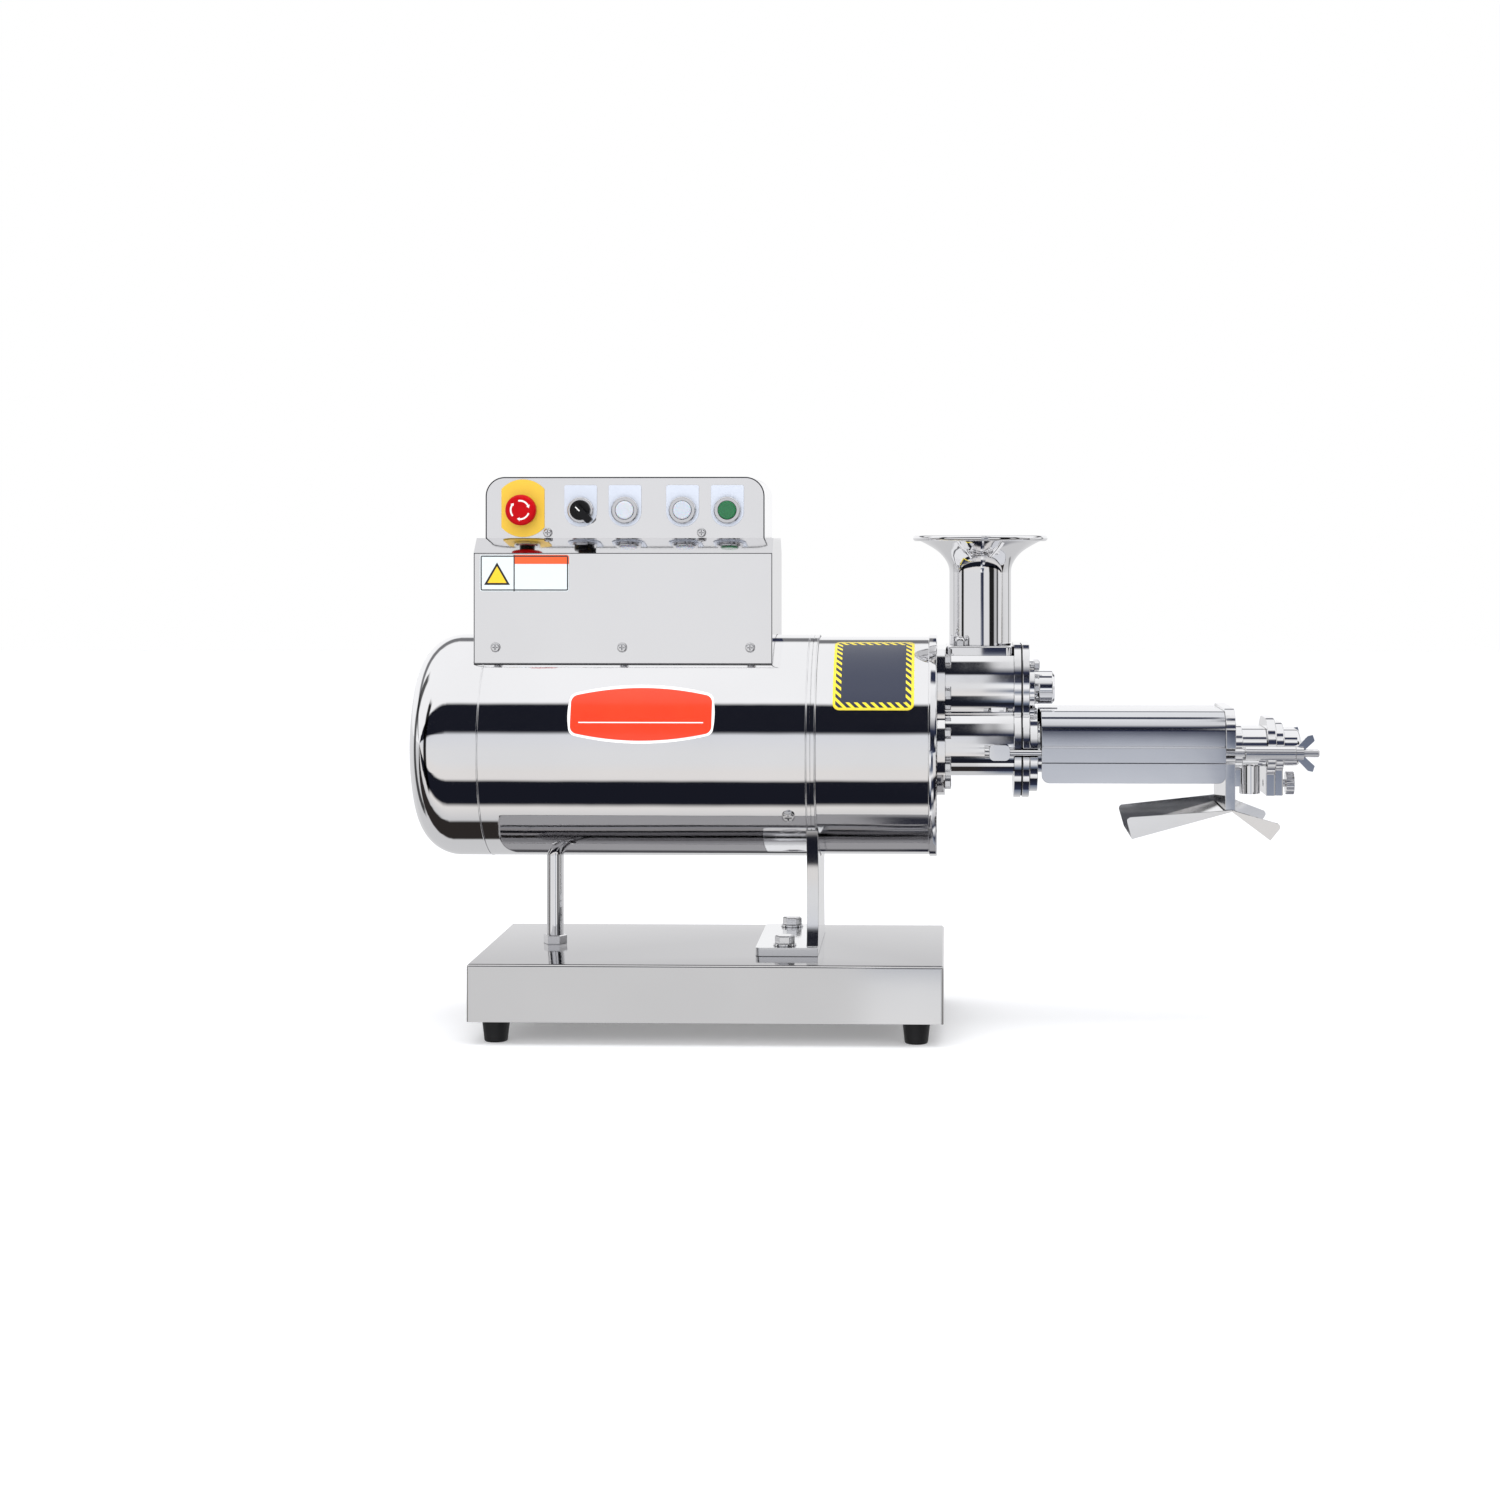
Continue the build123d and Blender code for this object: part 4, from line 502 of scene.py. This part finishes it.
def add_barrel_seams():
    """Lap beads at the rear cap, on both edges of the joint ring and at the front cover."""
    seam_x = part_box("rear_cap")[1].x
    ring_low, ring_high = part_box("joint_ring")
    ring_r = (ring_high.z - ring_low.z) / 2
    gear_low, gear_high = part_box("gearbox_shell")
    gear_r = (gear_high.z - gear_low.z) / 2
    turned("cap_lap_bead", bead(seam_x, BARREL_R, 0.9 * MM, 0.45 * MM), MIRROR)
    turned("joint_bead_rear", bead(ring_low.x, max(ring_r, BARREL_R), 0.8 * MM, 0.5 * MM), MIRROR)
    turned("joint_bead_front", bead(ring_high.x, ring_r, 0.8 * MM, 0.5 * MM), MIRROR)
    turned("cover_bead", bead(gear_high.x, gear_r, 0.9 * MM, 0.5 * MM), MIRROR)


def add_hazard_plate():
    """Thin curved plate with rounded corners, in the place of the square-cornered one."""
    low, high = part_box("hazard_plate")
    radius = math.hypot(low.y, low.z - AXIS_Z)
    foot, top = lies_at(low.y, low.z), lies_at(high.y, high.z)
    middle, half_v = (foot + top) / 2, (top - foot) * radius / 2
    columns = rounded_columns(low.x, high.x, half_v, HAZARD_CORNER)
    rows = 24
    vertices, faces = [], []
    for x, reach in columns:
        for k in range(rows + 1):
            angle = middle + reach / radius * (2 * k / rows - 1)
            vertices.append(around(x, radius, angle))
    for i in range(len(columns) - 1):
        for k in range(rows):
            a = i * (rows + 1) + k
            faces.append((a, a + rows + 1, a + rows + 2, a + 1))
    film_material = hazard_film(low, high)
    plate = new_piece("hazard_badge", vertices, faces, film_material, "frame")
    thick = plate.modifiers.new("thickness", "SOLIDIFY")
    thick.thickness = HAZARD_THICK
    thick.offset = -1
    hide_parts("hazard_plate")


def rounded_columns(x0, x1, half_height, corner, corner_steps=8, middle_steps=6):
    """Columns (x, half height) of a rounded rectangle."""
    turn = [math.pi / 2 * k / corner_steps for k in range(corner_steps + 1)]
    left = [(x0 + corner * (1 - math.sin(a)), half_height - corner * (1 - math.cos(a)))
            for a in reversed(turn)]
    inner = [(x0 + corner + (x1 - x0 - 2 * corner) * k / middle_steps, half_height)
             for k in range(1, middle_steps)]
    right = [(x0 + x1 - x, reach) for x, reach in reversed(left)]
    return left + inner + right


def arc_band(centre, inner, outer, start, end, depth, steps=24, head=0.0):
    """Flat ring sector facing the front; it ends in an arrow head when head is not zero."""
    cx, cy, cz = centre
    vertices, faces = [], []

    def spot(a, r, y):
        return (cx + r * math.cos(a), y, cz + r * math.sin(a))

    for k in range(steps + 1):
        a = start + (end - start) * k / steps
        vertices += [spot(a, inner, cy), spot(a, outer, cy),
                     spot(a, outer, cy + depth), spot(a, inner, cy + depth)]
    for k in range(steps):
        b = 4 * k
        for j in range(4):
            n = (j + 1) % 4
            faces.append((b + j, b + n, b + 4 + n, b + 4 + j))
    faces += [(0, 3, 2, 1), (4 * steps, 4 * steps + 1, 4 * steps + 2, 4 * steps + 3)]
    if head:
        middle, wide = (inner + outer) / 2, (outer - inner) * 1.15
        tip = end + head
        base = len(vertices)
        corners = [(end, middle - wide), (end, middle + wide), (tip, middle)]
        vertices += [spot(a, r, y) for y in (cy, cy + depth) for a, r in corners]
        faces += [(base, base + 1, base + 2), (base + 5, base + 4, base + 3)]
        for j in range(3):
            n = (j + 1) % 3
            faces.append((base + n, base + j, base + 3 + j, base + 3 + n))
    return vertices, faces


def add_estop_marks():
    """Raised rim, centre disc and three white turning arrows on the mushroom head."""
    low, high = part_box("estop_head")
    centre = Vector(((low.x + high.x) / 2, low.y - 0.15 * MM, (low.z + high.z) / 2))
    for k in range(3):
        start = math.radians(100 + 120 * k)
        end = start - math.radians(72)
        vertices, faces = arc_band(centre, 8.7 * MM, 10.4 * MM, start, end, 0.6 * MM,
                                   head=-math.radians(16))
        arrow = new_piece(f"estop_arrow_{k + 1}", vertices, faces, WHITE_PAINT, "estop_head")
        arrow.data.shade_flat()
    for name, inner, outer in (("estop_ring", 5.6, 6.8), ("estop_disc", 0.0, 3.4)):
        vertices, faces = arc_band(centre, max(inner, 0.01) * MM, outer * MM, 0.0, 2 * math.pi,
                                   0.9 * MM, steps=64)
        new_piece(name, vertices, faces, RED, "estop_head").data.shade_flat()


def add_selector_mark():
    """White line let into the selector's lever."""
    low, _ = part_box("selector_knob")
    lens_low, lens_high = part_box("reverse_button")
    middle_z = (lens_low.z + lens_high.z) / 2
    along = Vector((1, 0, -1)).normalized()
    across = Vector((1, 0, 1)).normalized()
    pivot = Vector((low.x + KNOB_RADIUS, low.y, middle_z))
    vertices = []
    for y in (low.y - 0.1 * MM, low.y + 0.3 * MM):
        for a, c in ((-4.5, -0.6), (1.5, -0.6), (1.5, 0.6), (-4.5, 0.6)):
            spot = pivot + along * a * MM + across * c * MM
            vertices.append((spot.x, y, spot.z))
    faces = [(0, 1, 2, 3), (7, 6, 5, 4), (0, 4, 5, 1), (1, 5, 6, 2), (2, 6, 7, 3), (3, 7, 4, 0)]
    new_piece("selector_mark", vertices, faces, WHITE_PAINT, "selector").data.shade_flat()


# ---------------------------------------------------------------- stage, light and camera
def build_world():
    """A studio seen in the polished steel: soft boxes above and in front, dark gaps between them.
    Pitch gives the bands along the barrel; the far right of the studio has bands of its own."""
    world = bpy.data.worlds.new("studio")
    bpy.context.scene.world = world
    world.use_nodes = True
    g = Graph(world.node_tree)
    x, y, z = g.parts(g.node("ShaderNodeTexCoord").outputs["Generated"])
    pitch = g.math("ARCTAN2", z, g.math("MULTIPLY", y, -1.0))
    place = g.math("MULTIPLY_ADD", pitch, 1 / (2 * math.pi), 0.5)
    white, grey, soft = (0.98, 0.98, 0.99), (0.62, 0.62, 0.63), (0.78, 0.78, 0.79)
    dark, brown = (0.010, 0.011, 0.018), (0.028, 0.024, 0.023)
    warm = (0.80, 0.775, 0.76)
    stops = ((-180, soft), (-150, grey), (-114, grey), (-111, brown), (-84, brown), (-81, grey),
             (-64, warm), (-59, dark), (-35, dark), (-32, warm), (-24, warm), (-14, soft), (-4, soft),
             (14, (0.74, 0.75, 0.79)), (17.5, dark), (45.5, dark), (48.5, white), (139, white),
             (143, (0.2, 0.2, 0.21)), (152, (0.2, 0.2, 0.21)), (156, white), (180, white))
    navy, blue = (0.030, 0.036, 0.070), (0.16, 0.19, 0.26)
    right_stops = ((-180, soft), (-150, grey), (-114, blue), (-111, navy), (-84, dark), (-81, soft),
                   (-70, white), (-66, navy), (-52, dark), (-46, blue), (-38, soft), (-30, white), (-22, blue),
                   (-13, white), (-6.6, (0.92, 0.93, 0.95)), (-6.0, (0.86, 0.87, 0.90)),
                   (-5.5, (0.68, 0.70, 0.75)), (-3.0, (0.40, 0.42, 0.48)), (-1.0, navy), (12, dark), (20, navy),
                   (34, soft), (70, white),
                   (75, navy), (86, navy), (90, white), (139, white), (143, navy), (152, navy), (156, white),
                   (180, white))
    bands = g.ramp(place, [((degree + 180) / 360, colour) for degree, colour in stops])
    right_bands = g.ramp(place, [((degree + 180) / 360, colour) for degree, colour in right_stops])
    end_stops = ((-180, soft), (-150, grey), (-114, navy), (-100, white), (-95, navy), (-72, soft), (-62, navy),
                 (-50, white), (-44, navy), (-36, navy), (-30, white), (-24, blue), (-16, navy), (-11, navy),
                 (-8.5, blue), (-6.4, (0.42, 0.45, 0.52)), (-5.0, blue), (-2.0, navy), (3, dark),
                 (9, white), (16, navy),
                 (30, navy), (37, white), (52, soft), (57, navy), (67, navy), (73, white), (139, white),
                 (143, navy), (152, navy), (156, white), (180, white))
    end_bands = g.ramp(place, [((degree + 180) / 360, colour) for degree, colour in end_stops])
    right_bands = g.mix(g.smooth(x, 0.104, 0.109), right_bands, end_bands)
    rightward = g.math("MULTIPLY", g.smooth(x, 0.012, 0.022), g.smooth(x, 0.24, 0.19))
    bands = g.mix(rightward, bands, right_bands)
    turn = g.math("ARCTAN2", x, g.math("MULTIPLY", y, -1.0))
    strips = ((-180, 1), (-150, 1), (-120, 1), (-117, 0.1), (-108, 0.1), (-105, 1), (-76, 1), (-74, 0.02),
              (-66, 0.02), (-64, 1), (32, 1), (35, 0.02), (51, 0.02), (54, 0.7), (62, 0.7), (64, 0.1),
              (69, 0.1), (71, 1), (128, 1), (131, 0.4), (136, 0.4), (139, 1), (180, 1))
    strip = g.ramp(g.math("MULTIPLY_ADD", turn, 1 / (2 * math.pi), 0.5),
                   [((degree + 180) / 360, (value,) * 3) for degree, value in strips])
    level = g.smooth(g.math("ABSOLUTE", z), 0.62, 0.52)
    mask = g.mix(level, (1, 1, 1, 1), strip)
    product = g.node("ShaderNodeMix", data_type="RGBA", blend_type="MULTIPLY")
    g.feed(product.inputs[0], 1.0)
    g.feed(product.inputs[6], bands)
    g.feed(product.inputs[7], mask)
    rays = g.node("ShaderNodeLightPath").outputs
    seen = g.mix(rays["Is Glossy Ray"], (0.93, 0.94, 0.96, 1), product.outputs[2])
    colour = g.mix(rays["Is Camera Ray"], seen, (1, 1, 1, 1))
    background = g.node("ShaderNodeBackground", {"Color": colour, "Strength": 1.0})
    g.node("ShaderNodeOutputWorld", {"Surface": background.outputs[0]})


def build_floor():
    mesh = bpy.data.meshes.new("floor")
    half = FLOOR_HALF
    mesh.from_pydata([(-half, -half, 0), (half, -half, 0), (half, half, 0), (-half, half, 0)], [],
                     [(0, 1, 2, 3)])
    floor = bpy.data.objects.new("floor", mesh)
    bpy.context.scene.collection.objects.link(floor)
    material, g = new_material("pale_floor")
    principled(g, {"Base Color": (0.86, 0.86, 0.87, 1), "Roughness": 0.9,
                   "Emission Color": (1, 1, 1, 1), "Emission Strength": 0.22})
    mesh.materials.append(material)
    floor.visible_glossy = False


def area_light(name, place, target, size, energy):
    data = bpy.data.lights.new(name, "AREA")
    data.shape = "RECTANGLE"
    data.size, data.size_y = size
    data.energy = energy
    lamp = bpy.data.objects.new(name, data)
    bpy.context.scene.collection.objects.link(lamp)
    lamp.location = place
    lamp.rotation_mode = "QUATERNION"
    lamp.rotation_quaternion = (Vector(target) - Vector(place)).to_track_quat("-Z", "Y")
    lamp.visible_glossy = False


def build_camera():
    """Level camera at the photograph's distance, with the lens shift that keeps uprights straight."""
    data = bpy.data.cameras.new("camera")
    camera = bpy.data.objects.new("camera", data)
    bpy.context.scene.collection.objects.link(camera)
    distance, height, side = 2.757, 0.512, 0.087
    data.lens = 62.54
    full_shift_x, data.shift_x, data.shift_y = -0.1293, -0.080, -0.1413
    yaw = math.atan((data.shift_x - full_shift_x) * data.sensor_width / data.lens)
    camera.location = (side, -distance, height)
    camera.rotation_euler = (math.radians(90), 0, yaw)
    bpy.context.scene.camera = camera


build_camera()
build_world()
build_floor()
area_light("top_box", (0.0, -0.4, 2.4), (0, 0, 0.2), (2.4, 1.6), 26)
area_light("front_box", (-0.6, -2.6, 1.5), (0, 0, 0.3), (1.6, 1.2), 14)
dress_nodes()
break_all_edges()
add_barrel_seams()
add_sheet_edge_shades()
add_hazard_plate()
add_estop_marks()
add_selector_mark()
bpy.context.scene.view_settings.view_transform = "Standard"
